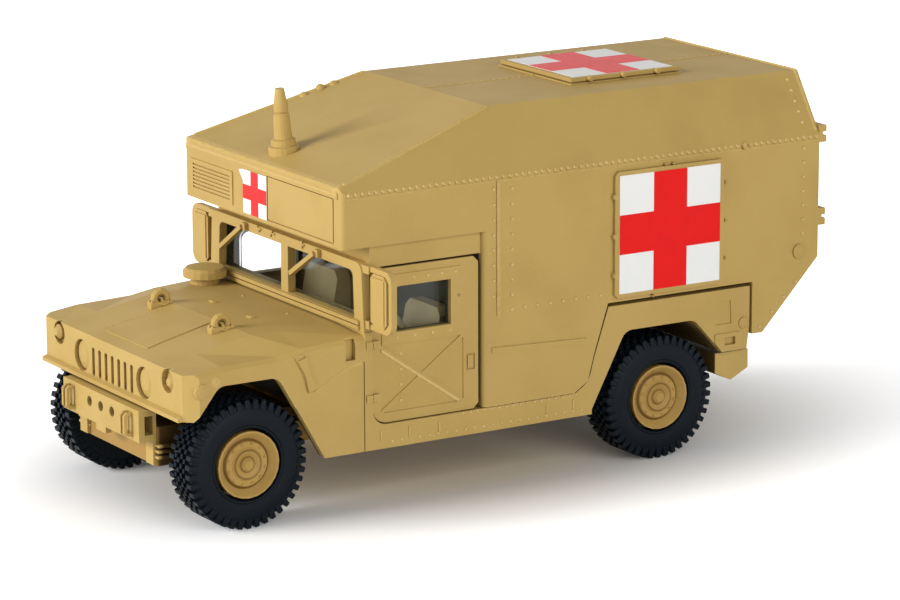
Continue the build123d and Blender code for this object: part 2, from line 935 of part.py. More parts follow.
def skirt_form():
    """The low front of the box that fills the room over the doors."""
    low = (-skirt_half, along(door_front_station), skirt_low)
    return block(low, (skirt_half, along(shelter_side_front), overhang_low))


def make_shelter():
    outer = shelter_form()
    low_y = along(shelter_front) - overrun
    high_y = behind(shelter_rear) + overrun
    w = shelter_wall
    cavity_side = [
        (along(shelter_front) + w, overhang_low + w),
        (along(shelter_front) + w, belt_height - w / 2),
        (along(roof_front) + w / 2, roof_height - w),
        (behind(shelter_rear) - rear_door_recess - w, roof_height - w),
        (behind(shelter_rear) - rear_door_recess - w, tail_kink_height),
        (behind(tail_low_rear), tail_low + w + w),
        (behind(tail_step_front) + w, tail_low + w),
        (behind(tail_step_front) + w, wheel_cut_top),
        (behind(wheel_cut_rear), wheel_cut_top),
        (behind(wheel_cut_step), -overrun),
        (along(shelter_side_front) + w, -overrun),
        (along(shelter_side_front) + w, overhang_low + w),
    ]
    cavity = side_prism(cavity_side, -shelter_half, shelter_half)
    cavity &= front_prism(shelter_section(w), low_y, high_y)
    shelter = with_front_marks(outer)
    marks = side_marks()
    shelter += marks
    shelter += mirror(marks, about=Plane.YZ)
    shelter -= cavity
    hollow_low = (-skirt_half + w, along(door_front_station) + w, skirt_low - overrun)
    shelter += skirt_form() - block(hollow_low, (skirt_half - w, along(shelter_side_front), overhang_low))
    opening_low = (-rear_door_width, behind(shelter_rear) - rear_door_recess, rear_door_low)
    opening_high = (rear_door_width, behind(shelter_rear) + overrun, rear_door_top)
    return shelter - block(opening_low, opening_high)


def window_form(lap, low_x, high_x):
    """The door window's opening grown by a lap, as a prism with its front top corner rounded."""
    front = along(window_front_station) - lap
    back = along(window_rear_station) + lap
    low = window_low - lap
    high = window_top + lap
    form = side_prism([(front, low), (back, low), (back, high), (front, high)], low_x, high_x)
    return rounded(form, "x", window_corner, [(front, high)])


def make_door():
    inner = door_half - door_thickness
    door = door_form(seam, inner, door_half)
    front = along(door_front_station)
    back = along(door_rear_station)
    frame_front = along(window_front_station) - window_frame
    frame_back = along(window_rear_station) + window_frame
    frame_low = (door_half - relief, frame_front, window_low - window_frame)
    door += block(frame_low, (door_half + door_relief, frame_back, window_top + window_frame))
    recess_front = front + recess_margin
    recess_back = back - recess_rear_margin
    recess_low = sill_top + recess_margin
    recess_high = window_low - window_frame - door_relief
    recess_corner = (door_half - door_relief, recess_front, recess_low)
    recess = block(recess_corner, (door_half + overrun, recess_back, recess_high))
    for start, end in (
        ((recess_front, recess_high), (recess_back, recess_low)),
        ((recess_front, recess_low), (recess_back, recess_high)),
    ):
        recess -= side_prism(strip(start, end, rib_width), door_half - 2 * door_relief, door_half + overrun)
    door -= recess
    handle_end = back - handle_rear_gap
    handle_start = handle_end - handle_width
    handle_top = handle_low + handle_height
    pocket_low = (door_half - relief, handle_start, handle_low)
    pocket = block(pocket_low, (door_half + overrun, handle_end, handle_top))
    grip_low = (inner, handle_start + handle_frame, handle_low + handle_frame)
    pocket -= block(grip_low, (door_half + overrun, handle_end - handle_frame, handle_top - handle_frame))
    door -= pocket
    for rise in door_hinge_rises:
        low_z = sill_top + rise
        hinge_back = front + seam + hinge_block
        low = (door_half - relief, front + seam, low_z)
        door += block(low, (door_half + hinge_stand, hinge_back, low_z + hinge_block))
    return door - window_form(0, inner - overrun, door_half + overrun)


def make_side_glass():
    inner = door_half - door_thickness
    return window_form(glass_lap, inner - glass_thickness, inner)


def make_windscreen():
    back = along(door_front_station)
    low = (-pane_low_half - glass_lap, back, pane_low - glass_lap)
    high = (pane_low_half + glass_lap, back + glass_thickness, pane_top + glass_lap)
    return block(low, high)


def make_rear_door():
    back = behind(shelter_rear)
    low = (seam, back - rear_door_recess, rear_door_low + seam)
    high = (rear_door_width - seam, back - rear_door_recess + rear_door_thickness, rear_door_top - seam)
    door = block(low, high)
    root = rear_door_width - seam - rear_hinge_width
    for z in (roof_height - rear_hinge_drop, rear_door_low + rear_hinge_rise):
        plate_low = (root, back, z - rear_hinge_height / 2)
        door += block(plate_low, (shelter_half, back + hinge_out / 2, z + rear_hinge_height / 2))
        for side in (-1, 1):
            middle = z + side * (rear_hinge_height + rear_hinge_gap) / 4
            half = (rear_hinge_height - rear_hinge_gap) / 4
            knuckle_low = (root, back, middle - half)
            door += block(knuckle_low, (shelter_half, back + hinge_out, middle + half))
    return door


def make_side_panel():
    centre = behind(side_panel_station)
    low_y, high_y = centre - panel_width / 2, centre + panel_width / 2
    low_z, high_z = panel_low, panel_low + panel_height
    c = panel_corner
    outline = [
        (low_y + c, low_z),
        (high_y - c, low_z),
        (high_y, low_z + c),
        (high_y, high_z - c),
        (high_y - c, high_z),
        (low_y + c, high_z),
        (low_y, high_z - c),
        (low_y, low_z + c),
    ]
    return side_prism(outline, shelter_half, shelter_half + panel_thickness)


def make_roof_panel():
    """Two plates over each other on a smaller foot."""
    centre = behind(roof_panel_station)
    half = panel_width / 2
    grow = roof_panel_grow
    low = (-half - grow, centre - half - grow, roof_height)
    panel = block(low, (half + grow, centre + half + grow, roof_height + roof_panel_lift / 2))
    neck_low = (-half + grow, centre - half + grow, roof_height)
    panel += block(neck_low, (half - grow, centre + half - grow, roof_height + roof_panel_lift))
    plate_low = (-half, centre - half, roof_height + roof_panel_lift)
    return panel + block(plate_low, (half, centre + half, roof_height + roof_panel_lift + panel_thickness))


def make_cab_tub():
    floor_z = floor_height + floor_thickness
    front = along(door_front_station)
    back = along(shelter_side_front)
    tub = block((-tub_half, front, floor_z), (tub_half, back, tub_height))
    tub += block((-tunnel_half, front, tub_height), (tunnel_half, back, tunnel_top))
    seat_rear = back - seat_gap
    seat_front = seat_rear - seat_length
    seat_outline = [
        (seat_front, tub_height),
        (seat_front, seat_cushion_top),
        (seat_rear - seat_back_thickness - seat_back_lean, seat_cushion_top),
        (seat_rear - seat_back_thickness, seat_back_top),
        (seat_rear, seat_back_top),
        (seat_rear, tub_height),
    ]
    seat = side_prism(seat_outline, seat_centre - seat_half, seat_centre + seat_half)
    tops = [(seat_centre - seat_half, seat_back_top), (seat_centre + seat_half, seat_back_top)]
    seat = bevelled(seat, "y", seat_corner, tops)
    return tub + seat + mirror(seat, about=Plane.YZ)


def make_dashboard():
    front = along(door_front_station) + glass_thickness
    outline = [
        (front, dash_low),
        (front, dash_top),
        (front + dash_depth / 2, dash_top),
        (front + dash_depth, dash_top - dash_slope),
        (front + dash_depth, dash_low),
    ]
    return side_prism(outline, -dash_half, dash_half)


def make_steering_wheel():
    outer = wheel_ring_radius + wheel_ring_wire
    inner = wheel_ring_radius - wheel_ring_wire
    ring = faceted([(outer, -wheel_ring_wire), (outer, wheel_ring_wire)], lamp_flat_count)
    ring -= faceted([(inner, -overrun), (inner, overrun)], lamp_flat_count)
    spoke = Box(2 * wheel_ring_radius, wheel_ring_wire, wheel_ring_wire)
    column_length = (steering_gap - dash_depth) / cos(radians(steering_tilt)) + dash_depth
    column = faceted([(steering_column, -column_length), (steering_column, 0)], boss_flat_count)
    wheel = ring + spoke + column
    y = along(door_front_station) + glass_thickness + steering_gap
    placed = Pos(seat_centre, y, steering_height) * Rot(steering_tilt - 90, 0, 0) * wheel
    return placed - make_dashboard()


def make_chassis():
    rail_rear = behind(step_front)
    nose_low_corner = (-nose_box_half, along(chassis_front), rail_low)
    chassis = block(nose_low_corner, (nose_box_half, along(nose_box_rear), nose_box_top))
    for side in (-1, 1):
        x = side * rail_half
        low = (x - rail_width / 2, along(chassis_front), rail_low)
        chassis += block(low, (x + rail_width / 2, rail_rear, rail_top))
    chassis += block((-carrier_half, behind(tray_station), rail_low), (carrier_half, rail_rear, tray_top))
    sump_front = front_axle_y + carrier_length / 2
    sump = [
        (sump_front, floor_height),
        (sump_front, rail_low),
        (sump_front + carrier_length / 2, sump_low),
        (along(sump_rear) - carrier_length / 2, sump_low),
        (along(sump_rear), rail_low),
        (along(sump_rear), floor_height),
    ]
    chassis += side_prism(sump, -sump_half, sump_half)
    tank_low_corner = (tank_inset - body_half, along(tank_front), tank_low)
    chassis += block(tank_low_corner, (-rail_half, along(tank_front + tank_length), floor_height))
    for y in (front_axle_y, rear_axle_y):
        half = nose_box_half + overrun
        low = (-half, y - carrier_length / 2, -overrun)
        chassis -= block(low, (half, y + carrier_length / 2, wheel_radius + axle_radius + carrier_wall))
    return chassis


def make_carrier(y):
    """A block that carries an axle in a bore with running clearance."""
    top = wheel_radius + axle_radius + carrier_wall
    low = (-carrier_half, y - carrier_length / 2, wheel_radius - axle_radius - carrier_wall)
    carrier = block(low, (carrier_half, y + carrier_length / 2, top))
    bore = Cylinder(axle_radius + axle_clearance, 2 * carrier_half + overrun)
    return carrier - Pos(0, y, wheel_radius) * Rot(0, 90, 0) * bore


def tow_hook(x, face_y):
    """One upright loop of a tow hook, standing out of the bumper's face."""
    middle = bumper_low + bumper_height / 2
    half = hook_height / 2
    c = hook_corner
    outline = [
        (face_y, middle - half),
        (face_y - hook_out + c, middle - half),
        (face_y - hook_out, middle - half + c),
        (face_y - hook_out, middle + half - c),
        (face_y - hook_out + c, middle + half),
        (face_y, middle + half),
    ]
    loop = side_prism(outline, x - hook_wire / 2, x + hook_wire / 2)
    hole_low = (x - hook_wire, face_y - hook_out + hook_wire, middle - half + hook_wire)
    return loop - block(hole_low, (x + hook_wire, face_y, middle + half - hook_wire))


def make_bumper():
    y = along(bumper_station)
    back = y + bumper_depth
    chassis_y = along(chassis_front)
    bumper = block((-bumper_half, y, bumper_low), (bumper_half, back, bumper_top))
    channel_low = (-bumper_half - overrun, y + bumper_plate, bumper_low + bumper_plate)
    bumper -= block(channel_low, (bumper_half + overrun, back + overrun, bumper_top - bumper_plate))
    hole_ends = [(bumper_hole_radius, -bumper_depth), (bumper_hole_radius, bumper_depth)]
    hole = faceted(hole_ends, boss_flat_count)
    for i in (-1, 0, 1):
        bumper -= facing_front(hole, i * bumper_hole_pitch, y, bumper_low + bumper_hole_rise)
    bumper += block((-tow_half, y, tow_low), (tow_half, y + bumper_plate, bumper_low))
    for side in (-1, 1):
        for step in (-1, 1):
            bumper += tow_hook(side * hook_x + step * hook_pitch / 2, y)
        arm_x = side * rail_half
        arm_low = (arm_x - bumper_arm_width / 2, y + bumper_plate / 2, bumper_low)
        bumper += block(arm_low, (arm_x + bumper_arm_width / 2, chassis_y, bumper_top))
        for rib_x in horn_x:
            x = side * rib_x
            bumper += block((x - horn_rib / 2, back, horn_low), (x + horn_rib / 2, chassis_y, bumper_top))
        ends = sorted((side * horn_x[0], side * horn_x[-1]))
        bumper += block((ends[0], back, horn_low), (ends[1], back + horn_rib, bumper_top))
    return bumper


def make_rear_step():
    outline = [
        (behind(step_rear), step_top),
        (behind(step_rear), step_rear_height),
        (behind(step_low_station), step_low),
        (behind(step_front), step_front_height),
        (behind(step_front), step_top),
    ]
    return side_prism(outline, -step_half, step_half)


def make_mirror():
    y = along(mirror_station)
    front, back = y - mirror_depth / 2, y + mirror_depth / 2
    loop = block((mirror_root_x, front, mirror_low), (mirror_outer, back, mirror_high))
    loop = rounded(loop, "y", mirror_corner, [(mirror_outer, mirror_low), (mirror_outer, mirror_high)])
    s = mirror_strap
    hole_low = (mirror_root_x - overrun, y - overrun, mirror_low + s)
    hole = block(hole_low, (mirror_outer - s, y + overrun, mirror_high - s))
    corners = [(mirror_outer - s, mirror_low + s), (mirror_outer - s, mirror_high - s)]
    loop -= bevelled(hole, "y", mirror_corner - s, corners)
    for z in (mirror_low, mirror_high - mirror_knuckle):
        low = (mirror_root_x, front - mirror_knuckle_stand, z)
        loop += block(low, (door_half + mirror_knuckle, back, z + mirror_knuckle))
    head_left = mirror_outer - s - mirror_head_gap
    head_right = head_left - mirror_reach * mirror_head_share
    head_low = (head_right, y - mirror_head_depth / 2, mirror_low + s)
    head = block(head_low, (head_left, y + mirror_head_depth / 2, mirror_high - s))
    ends = []
    for x in (head_right, head_left):
        for z in (mirror_low + s, mirror_high - s):
            ends.append((x, z))
    head = bevelled(head, "y", mirror_head_corner, ends)
    step = mirror_head_step
    plate_low = (head_right + step, y - mirror_head_depth / 2 - relief, mirror_low + s + step)
    head += block(plate_low, (head_left - step, y, mirror_high - s - step))
    inner = door_half - door_thickness
    return loop + head - windscreen_frame() - door_form(seam, inner, door_half) - skirt_form()


def make_wiper(pivot_x, tip_x):
    front = along(cowl_station)
    w = wiper_width
    top = frame_top - w
    arm = strip((pivot_x, top), (tip_x, top - wiper_drop), w)
    wiper = front_prism(arm, front - w - gasket_stand, front - gasket_stand / 2)
    pivot_low = (pivot_x - w / 2, front - w, top - wiper_pivot / 2)
    return wiper + block(pivot_low, (pivot_x + w, front, top + wiper_pivot / 2))


def make_ring():
    """A lifting ring on its foot, cut to sit on the hood."""
    middle = hood_back_height + ring_radius - ring_foot / 2
    w = ring_wire
    outer = ring_radius + w
    inner = ring_radius - w
    outside = [(outer - w / 2, -w), (outer, -w / 2), (outer, w / 2), (outer - w / 2, w)]
    inside = [(inner + w / 2, -w), (inner, -w / 2), (inner, w / 2), (inner + w / 2, w)]
    ring = faceted(outside, boss_flat_count) - faceted(inside, boss_flat_count)
    y = along(ring_station)
    placed = Pos(ring_x, y, middle) * Rot(0, 90, 0) * ring
    low = (ring_x - ring_foot, y - ring_foot_half, hood_rows[1][1])
    foot = block(low, (ring_x + ring_foot, y + ring_foot_half, hood_back_height + ring_foot / 2))
    return placed + foot - hood_shell()


def make_cap():
    """The mushroom cap of the air intake, cut to sit on the hood."""
    rim_low = hood_back_height + cap_neck
    neck = [(cap_neck_radius, hood_back_height - cap_height), (cap_neck_radius, rim_low + cap_edge)]
    points = [
        (cap_radius, rim_low),
        (cap_radius, rim_low + cap_height - cap_edge),
        (cap_radius - cap_edge, rim_low + cap_height),
    ]
    cap = faceted(neck, lamp_flat_count) + faceted(points, lamp_flat_count)
    return Pos(cap_inset - body_half, along(cap_station), 0) * cap - hood_shell()


def make_cone():
    foot = (cone_profile[0][0], -cone_profile[0][1])
    cone = faceted([foot] + list(cone_profile), lamp_flat_count)
    share = (cone_station - shelter_front) / (roof_front - shelter_front)
    z = belt_height + brow_height + (roof_rise - brow_height) * share
    return Pos(0, along(cone_station), z) * Rot(cone_tilt, 0, 0) * cone - shelter_form()


def make_axle(y):
    axle = Cylinder(axle_radius, 2 * (tyre_face_x - rim_back))
    return Pos(0, y, wheel_radius) * Rot(0, 90, 0) * axle


def make_rim():
    """Rim of the left wheels about the X axis, its face outwards; the centre is the axle's."""
    face = tyre_face_x
    back = tyre_face_x - tyre_width
    radius = tyre_inner_radius - rim_clearance
    disc = face - disc_depth
    points = [
        (radius, back),
        (radius, face),
        (radius - rim_lip, face),
        (groove_radius, face - groove_depth),
        (disc_radius, disc),
        (ring_outer_radius, disc),
        (ring_radius_middle, disc + ring_rise),
        (hub_radius, disc),
        (hub_cap_radius, disc + hub_rise),
    ]
    seat = Pos(0, 0, back - overrun) * Cylinder(
        axle_radius + rim_clearance,
        tyre_width - rim_back + overrun,
        align=(Align.CENTER, Align.CENTER, Align.MIN),
    )
    return Rot(0, 90, 0) * (faceted(points, rim_flat_count) - seat)


def make_tyre():
    """Tyre of the left wheels about the X axis: flats, with a lug on every second one of a shoulder."""
    middle = tyre_face_x - tyre_width / 2
    half = tyre_width / 2
    floor = wheel_radius - tread_depth
    flats = 2 * lug_count
    turn = 360 / flats
    bead_radius = tyre_inner_radius + bead_width
    carcass = faceted([
        (bead_radius, bead_inset - half),
        (sidewall_bulge_radius, -half),
        (floor, floor_inset - half),
        (floor, half - floor_inset),
        (sidewall_bulge_radius, half),
        (bead_radius, half - bead_inset),
    ], flats)
    lug_top = half - lug_inset
    lug_low = lug_top - lug_reach
    ring = faceted([
        (floor - tread_depth, lug_low),
        (wheel_radius, lug_low + lug_slope),
        (wheel_radius, lug_top),
        (floor - tread_depth, half - relief),
    ], flats)
    wedge = [
        (sidewall_bulge_radius, 0),
        (wheel_radius + overrun, 0),
        ((wheel_radius + overrun) * cos(radians(turn)), (wheel_radius + overrun) * sin(radians(turn))),
        (sidewall_bulge_radius * cos(radians(turn)), sidewall_bulge_radius * sin(radians(turn))),
    ]
    lug = ring & top_prism(wedge, lug_low - overrun, half + overrun)
    twin = mirror(lug, about=Plane.XY)
    lugs = []
    for i in range(lug_count):
        lugs.append(Rot(0, 0, 2 * i * turn) * lug)
        lugs.append(Rot(0, 0, (2 * i + 1) * turn) * twin)
    bore = faceted([(tyre_inner_radius, -tyre_width), (tyre_inner_radius, tyre_width)], flats)
    return Rot(0, 90, 0) * Pos(0, 0, middle) * (carcass.fuse(*lugs) - bore)


def main():
    nodes = {
        "lower_body": make_lower_body(),
        "hood": make_hood(),
        "shelter": make_shelter(),
        "windscreen": make_windscreen(),
        "cab_tub": make_cab_tub(),
        "dashboard": make_dashboard(),
        "steering_wheel": make_steering_wheel(),
        "chassis": make_chassis(),
        "front_carrier": make_carrier(front_axle_y),
        "rear_carrier": make_carrier(rear_axle_y),
        "front_bumper": make_bumper(),
        "rear_step": make_rear_step(),
        "air_intake": make_cap(),
        "roof_cone": make_cone(),
        "roof_panel": make_roof_panel(),
    }
    for name, pivot_x, tip_x in wiper_rows:
        nodes["wiper_" + name] = make_wiper(pivot_x, tip_x)
    pairs = {
        "door": make_door(),
        "side_glass": make_side_glass(),
        "rear_door": make_rear_door(),
        "side_panel": make_side_panel(),
        "mirror": make_mirror(),
        "lifting_ring": make_ring(),
    }
    for name, left in pairs.items():
        nodes[name + "_left"] = left
        nodes[name + "_right"] = mirror(left, about=Plane.YZ)
    rim = make_rim()
    tyre = make_tyre()
    for place, y in (("front", front_axle_y), ("rear", rear_axle_y)):
        nodes[place + "_axle"] = make_axle(y)
        at = Pos(0, y, wheel_radius)
        nodes[place + "_rim_left"] = at * rim
        nodes[place + "_tyre_left"] = at * tyre
        nodes[place + "_rim_right"] = at * mirror(rim, about=Plane.YZ)
        nodes[place + "_tyre_right"] = at * mirror(tyre, about=Plane.YZ)
    os.makedirs("parts", exist_ok=True)
    for name, solid in nodes.items():
        export_step(solid, "parts/" + name + ".step")


main()
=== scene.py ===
# %% [markdown]
# A toy-sized ambulance truck is dressed here for its portrait. The plastic parts come from the
# CAD model and stay where they are; this file gives them paint, rubber and glass, adds what is
# too fine for the CAD model, such as rivets, tyre tread and printed crosses, and then lights the
# scene. Lengths are in metres, because the model was packed that way, and MM turns millimetres
# to them.

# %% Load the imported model
import json
from math import cos, pi, radians, sin
import bpy
from mathutils import Matrix, Vector


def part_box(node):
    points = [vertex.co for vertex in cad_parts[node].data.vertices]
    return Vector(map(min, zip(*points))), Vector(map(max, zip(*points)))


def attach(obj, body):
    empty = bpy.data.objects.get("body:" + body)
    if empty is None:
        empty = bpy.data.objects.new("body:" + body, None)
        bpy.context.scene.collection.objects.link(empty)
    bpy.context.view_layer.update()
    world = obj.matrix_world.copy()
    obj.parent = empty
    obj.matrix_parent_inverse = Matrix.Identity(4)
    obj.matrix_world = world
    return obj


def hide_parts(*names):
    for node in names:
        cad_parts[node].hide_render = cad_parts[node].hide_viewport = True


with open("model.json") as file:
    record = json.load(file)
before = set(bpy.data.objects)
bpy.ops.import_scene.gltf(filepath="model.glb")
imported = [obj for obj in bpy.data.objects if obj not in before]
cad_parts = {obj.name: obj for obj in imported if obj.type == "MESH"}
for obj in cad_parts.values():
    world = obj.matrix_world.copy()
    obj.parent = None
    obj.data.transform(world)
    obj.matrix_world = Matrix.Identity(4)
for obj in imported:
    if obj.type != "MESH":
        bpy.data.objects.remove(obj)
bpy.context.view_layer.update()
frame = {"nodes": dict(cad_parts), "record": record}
MM = 0.001

# %% [markdown]
# Everything small is placed from the model's own boxes. The front axle is the natural zero of a
# truck drawing, so a "station" here is a distance behind it, as a fitter would measure along the
# side with a ruler. Across the truck, x counts from its middle, and plus is the driver's side.

# %% Find the model's own datums
axle_low, axle_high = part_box("front_axle")
FRONT_AXLE_Y = (axle_low.y + axle_high.y) / 2
AXLE_Z = (axle_low.z + axle_high.z) / 2
axle_low, axle_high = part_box("rear_axle")
REAR_AXLE_Y = (axle_low.y + axle_high.y) / 2
# far enough out to be clear of the model
OUTSIDE = 0.1
SIDES = ((1, "left"), (-1, "right"))
print("wheelbase", round((REAR_AXLE_Y - FRONT_AXLE_Y) / MM, 2), "mm")


def along(station):
    """The y of a place measured in millimetres behind the front axle."""
    return FRONT_AXLE_Y + station * MM


# %% [markdown]
# Shader nodes are easier to read as sums. This small class wraps a socket, so that a * b + c
# adds the Math nodes for it, and 1 - mask turns a mask round.

# %% Sockets in sums
class Link:
    """An output socket that can be used in sums."""

    def __init__(self, finish, socket):
        self.finish = finish
        self.socket = socket

    def math(self, operation, first, second):
        return self.finish.node("ShaderNodeMath", {"operation": operation}, {0: first, 1: second})

    def __add__(self, other):
        return self.math("ADD", self, other)

    def __sub__(self, other):
        return self.math("SUBTRACT", self, other)

    def __rsub__(self, other):
        return self.math("SUBTRACT", other, self)

    def __mul__(self, other):
        return self.math("MULTIPLY", self, other)

    __radd__ = __add__
    __rmul__ = __mul__

    def either(self, other):
        """The larger of two masks."""
        return self.math("MAXIMUM", self, other)

    def above(self, low, high):
        """0 below low, 1 above high, smooth between."""
        values = {"Value": self, "From Min": low, "From Max": high}
        return self.finish.node("ShaderNodeMapRange", {"interpolation_type": "SMOOTHSTEP"}, values)


print("sums ready")

# %% [markdown]
# Every other kind of node comes from one method, which takes the node's type, its settings and
# its sockets. The methods after it name what this model's finishes are made of: noise, mixes of
# two colours, places, bumps, and how close other surfaces are.

# %% A finish and its nodes
class Finish:
    """A node tree and a short way to add nodes to it."""

    def __init__(self, tree, shader, material=None):
        self.tree = tree
        self.shader = tree.nodes[shader]
        self.material = material

    def set(self, node, values):
        """Links or sets each named socket of a node."""
        for key, value in values.items():
            if isinstance(value, Link):
                self.tree.links.new(value.socket, node.inputs[key])
            else:
                node.inputs[key].default_value = value

    def node(self, kind, settings, values, output=0):
        """Adds a node, its settings first and then its sockets, and returns one output."""
        made = self.tree.nodes.new(kind)
        for key, value in settings.items():
            setattr(made, key, value)
        self.set(made, values)
        return Link(self, made.outputs[output])

    def place(self):
        """Where the surface lies, in the model's own metres."""
        return self.node("ShaderNodeTexCoord", {}, {}, "Object")

    def noise(self, scale, detail=4.0, roughness=0.55):
        """Even noise from 0 to 1; scale counts lumps per metre."""
        values = {"Vector": self.place(), "Scale": scale, "Detail": detail, "Roughness": roughness}
        return self.node("ShaderNodeTexNoise", {}, values)

    def mix(self, factor, first, second):
        """A colour between two colours; the sockets 6 and 7 are the node's colour ones."""
        return self.node("ShaderNodeMix", {"data_type": "RGBA"}, {0: factor, 6: first, 7: second}, 2)

    def axis(self, index):
        """How far the surface lies along X, Y or Z, in metres."""
        return self.node("ShaderNodeSeparateXYZ", {}, {0: self.place()}, index)

    def bump(self, height, strength, distance):
        values = {"Height": height, "Strength": strength, "Distance": distance}
        return self.node("ShaderNodeBump", {}, values)

    def closeness(self, distance, inside):
        """1 deep in a corner and 0 in the open; with inside set, 1 on an outer edge instead."""
        settings = {"inside": inside, "samples": 8}
        return 1 - self.node("ShaderNodeAmbientOcclusion", settings, {"Distance": distance}, "AO")

    def feed(self, **sockets):
        self.set(self.shader, {key.replace("_", " "): value for key, value in sockets.items()})


print("finishes ready")

# %% [markdown]
# A finish starts from one Principled shader. Its colours are given as a screen shows them, and
# turned to the amounts of light that Blender works in.

# %% New finishes and colours
def new_finish(name, **sockets):
    """A material with one Principled shader, whose plain values are set by socket name."""
    material = bpy.data.materials.new(name)
    material.use_nodes = True
    finish = Finish(material.node_tree, "Principled BSDF", material)
    finish.feed(**sockets)
    return finish


def shade(red, green, blue):
    """Light values from a colour as a screen shows it."""
    linear = []
    for part in (red, green, blue):
        part /= 255
        linear.append(part / 12.92 if part <= 0.04045 else ((part + 0.055) / 1.055) ** 2.4)
    return (*linear, 1.0)


print("mid grey as light:", round(shade(128, 128, 128)[0], 3))

# %% [markdown]
# The inside of the cab, the space inside the wheel arches and the bay under the hood are painted
# dark, as painted shade. The cab and the bay under the hood are simple boxes, and the arches are
# round the axles, so a mask can be worked out from where the surface lies. Each wall of such a
# space is a short fade.

# %% Painted shade in the cab, the arches and under the hood
# both ends of each fade, in millimetres; front and back are stations
CAB_SIDE = (11.80, 11.90)
CAB_FRONT, CAB_BACK = (11.05, 11.15), (20.70, 20.80)
CAB_FLOOR, CAB_ROOF = (7.0, 7.1), (19.6, 19.8)
ARCH_RADIUS, ARCH_FRONT, ARCH_SIDE = (6.3, 6.9), (-4.9, -4.6), (11.7, 11.9)
BAY_FRONT, BAY_BACK, BAY_SIDE = (-4.2, -3.9), (10.6, 10.8), (11.0, 11.3)
BAY_FLOOR, BAY_ROOF = (6.0, 6.3), (9.6, 9.8)


def past(value, fade):
    """0 before a fade and 1 after it."""
    return value.above(fade[0] * MM, fade[1] * MM)


def lie(finish):
    """How far out, how far back from the front axle and how high the surface lies."""
    across = finish.axis(0)
    return across.either(across * -1), finish.axis(1) - FRONT_AXLE_Y, finish.axis(2)


def from_axle(finish):
    """The distance from the nearer axle's line."""
    ahead = finish.axis(1) - FRONT_AXLE_Y
    behind = finish.axis(1) - REAR_AXLE_Y
    up = finish.axis(2) - AXLE_Z
    nearer = ahead.math("MINIMUM", ahead * ahead, behind * behind)
    return nearer.math("SQRT", nearer + up * up, 0.0)


def cab_shade_mask(finish):
    """1 on whatever faces into the cab, where shade is painted."""
    across, back, up = lie(finish)
    wide = 1 - past(across, CAB_SIDE)
    long = past(back, CAB_FRONT) * (1 - past(back, CAB_BACK))
    high = past(up, CAB_FLOOR) * (1 - past(up, CAB_ROOF))
    return wide * long * high


def arch_and_bay_shade_mask(finish):
    """1 inside the wheel arches and under the hood, where shade is painted."""
    across, back, up = lie(finish)
    arch = 1 - past(from_axle(finish), ARCH_RADIUS)
    arch = arch * past(back, ARCH_FRONT) * (1 - past(across, ARCH_SIDE))
    bay = past(back, BAY_FRONT) * (1 - past(back, BAY_BACK)) * (1 - past(across, BAY_SIDE))
    bay = bay * past(up, BAY_FLOOR) * (1 - past(up, BAY_ROOF))
    return arch.either(bay)


print("linings ready, arches", ARCH_RADIUS[1], "mm round the axles")

# %% [markdown]
# The body is moulded plastic sprayed in one matt sand colour. A sprayed coat is never quite even,
# and soft noise gives its cloudiness. Outer edges are painted paler in specks, partly as rubbed
# paint and partly as a painted highlight, and grooves and corners are painted darker, as painted
# shade. The edges and corners are found by how close other surfaces are, which the Ambient
# Occlusion node measures: looking outwards it finds grooves, and looking inwards it finds edges.

# %% Sand paint
GROOVE = 0.55 * MM
EDGE = 0.16 * MM
# shares of red, green and blue that make a paint paler, deeper, or darker as painted shade in grooves
PALER_SHARES = (1.12, 1.13, 1.22)
DEEPER_SHARES = (0.93, 0.91, 0.86)
GROOVE_SHADE_SHARES = (0.50, 0.41, 0.26)
# painted shade colours for the cab's inside, and for the arches and the hood bay
CAB_PAINTED_SHADE = shade(34, 50, 46)
ARCH_PAINTED_SHADE = shade(44, 32, 16)
PAINT_GLOSS = 0.16
SPRAY_BUMP = 0.04 * MM


def toned(colour, shares):
    """A screen colour made paler or deeper."""
    return shade(*[min(part * share, 255) for part, share in zip(colour, shares)])


def sand_paint(name, colour, grain, depth=0.75):
    """Sprayed paint: grain is its roughness to the touch, and depth how dark the painted shade in its
    grooves is.
    """
    finish = new_finish(name, Metallic=0.0, Specular_IOR_Level=PAINT_GLOSS)
    pale = toned(colour, PALER_SHARES)
    clouds = finish.noise(150.0, 3.0)
    fine = finish.noise(3600.0, 3.0, 0.6)
    cloudy = finish.mix(clouds.above(0.38, 0.70) * 0.45, shade(*colour), toned(colour, DEEPER_SHARES))
    speckled = finish.mix(fine.above(0.56, 0.80) * 0.20, cloudy, pale)
    # grooves and corners get painted shade in the pooled colour
    groove_shade_mask = finish.closeness(GROOVE, False).above(0.30, 0.92)
    # outer edges get paler specks: partly rubbed paint, partly a painted highlight
    edge_wear_and_highlight = finish.closeness(EDGE, True).above(0.30, 0.75) * fine.above(0.30, 0.55)
    worn = finish.mix(edge_wear_and_highlight * 0.55, speckled, pale)
    groove_shaded = finish.mix(groove_shade_mask * depth, worn, toned(colour, GROOVE_SHADE_SHARES))
    # painted shade inside the cab, then inside the wheel arches and under the hood
    cab_shaded = finish.mix(cab_shade_mask(finish) * 0.92, groove_shaded, CAB_PAINTED_SHADE)
    base = finish.mix(arch_and_bay_shade_mask(finish) * 0.85, cab_shaded, ARCH_PAINTED_SHADE)
    height = fine * 0.6 + finish.noise(1500.0, 2.0) * 0.4
    bump = finish.bump(height, grain, SPRAY_BUMP)
    finish.feed(Base_Color=base, Roughness=clouds * 0.14 + 0.46, Normal=bump)
    return finish.material


sand = sand_paint("sand paint", (184, 155, 90), 0.35)
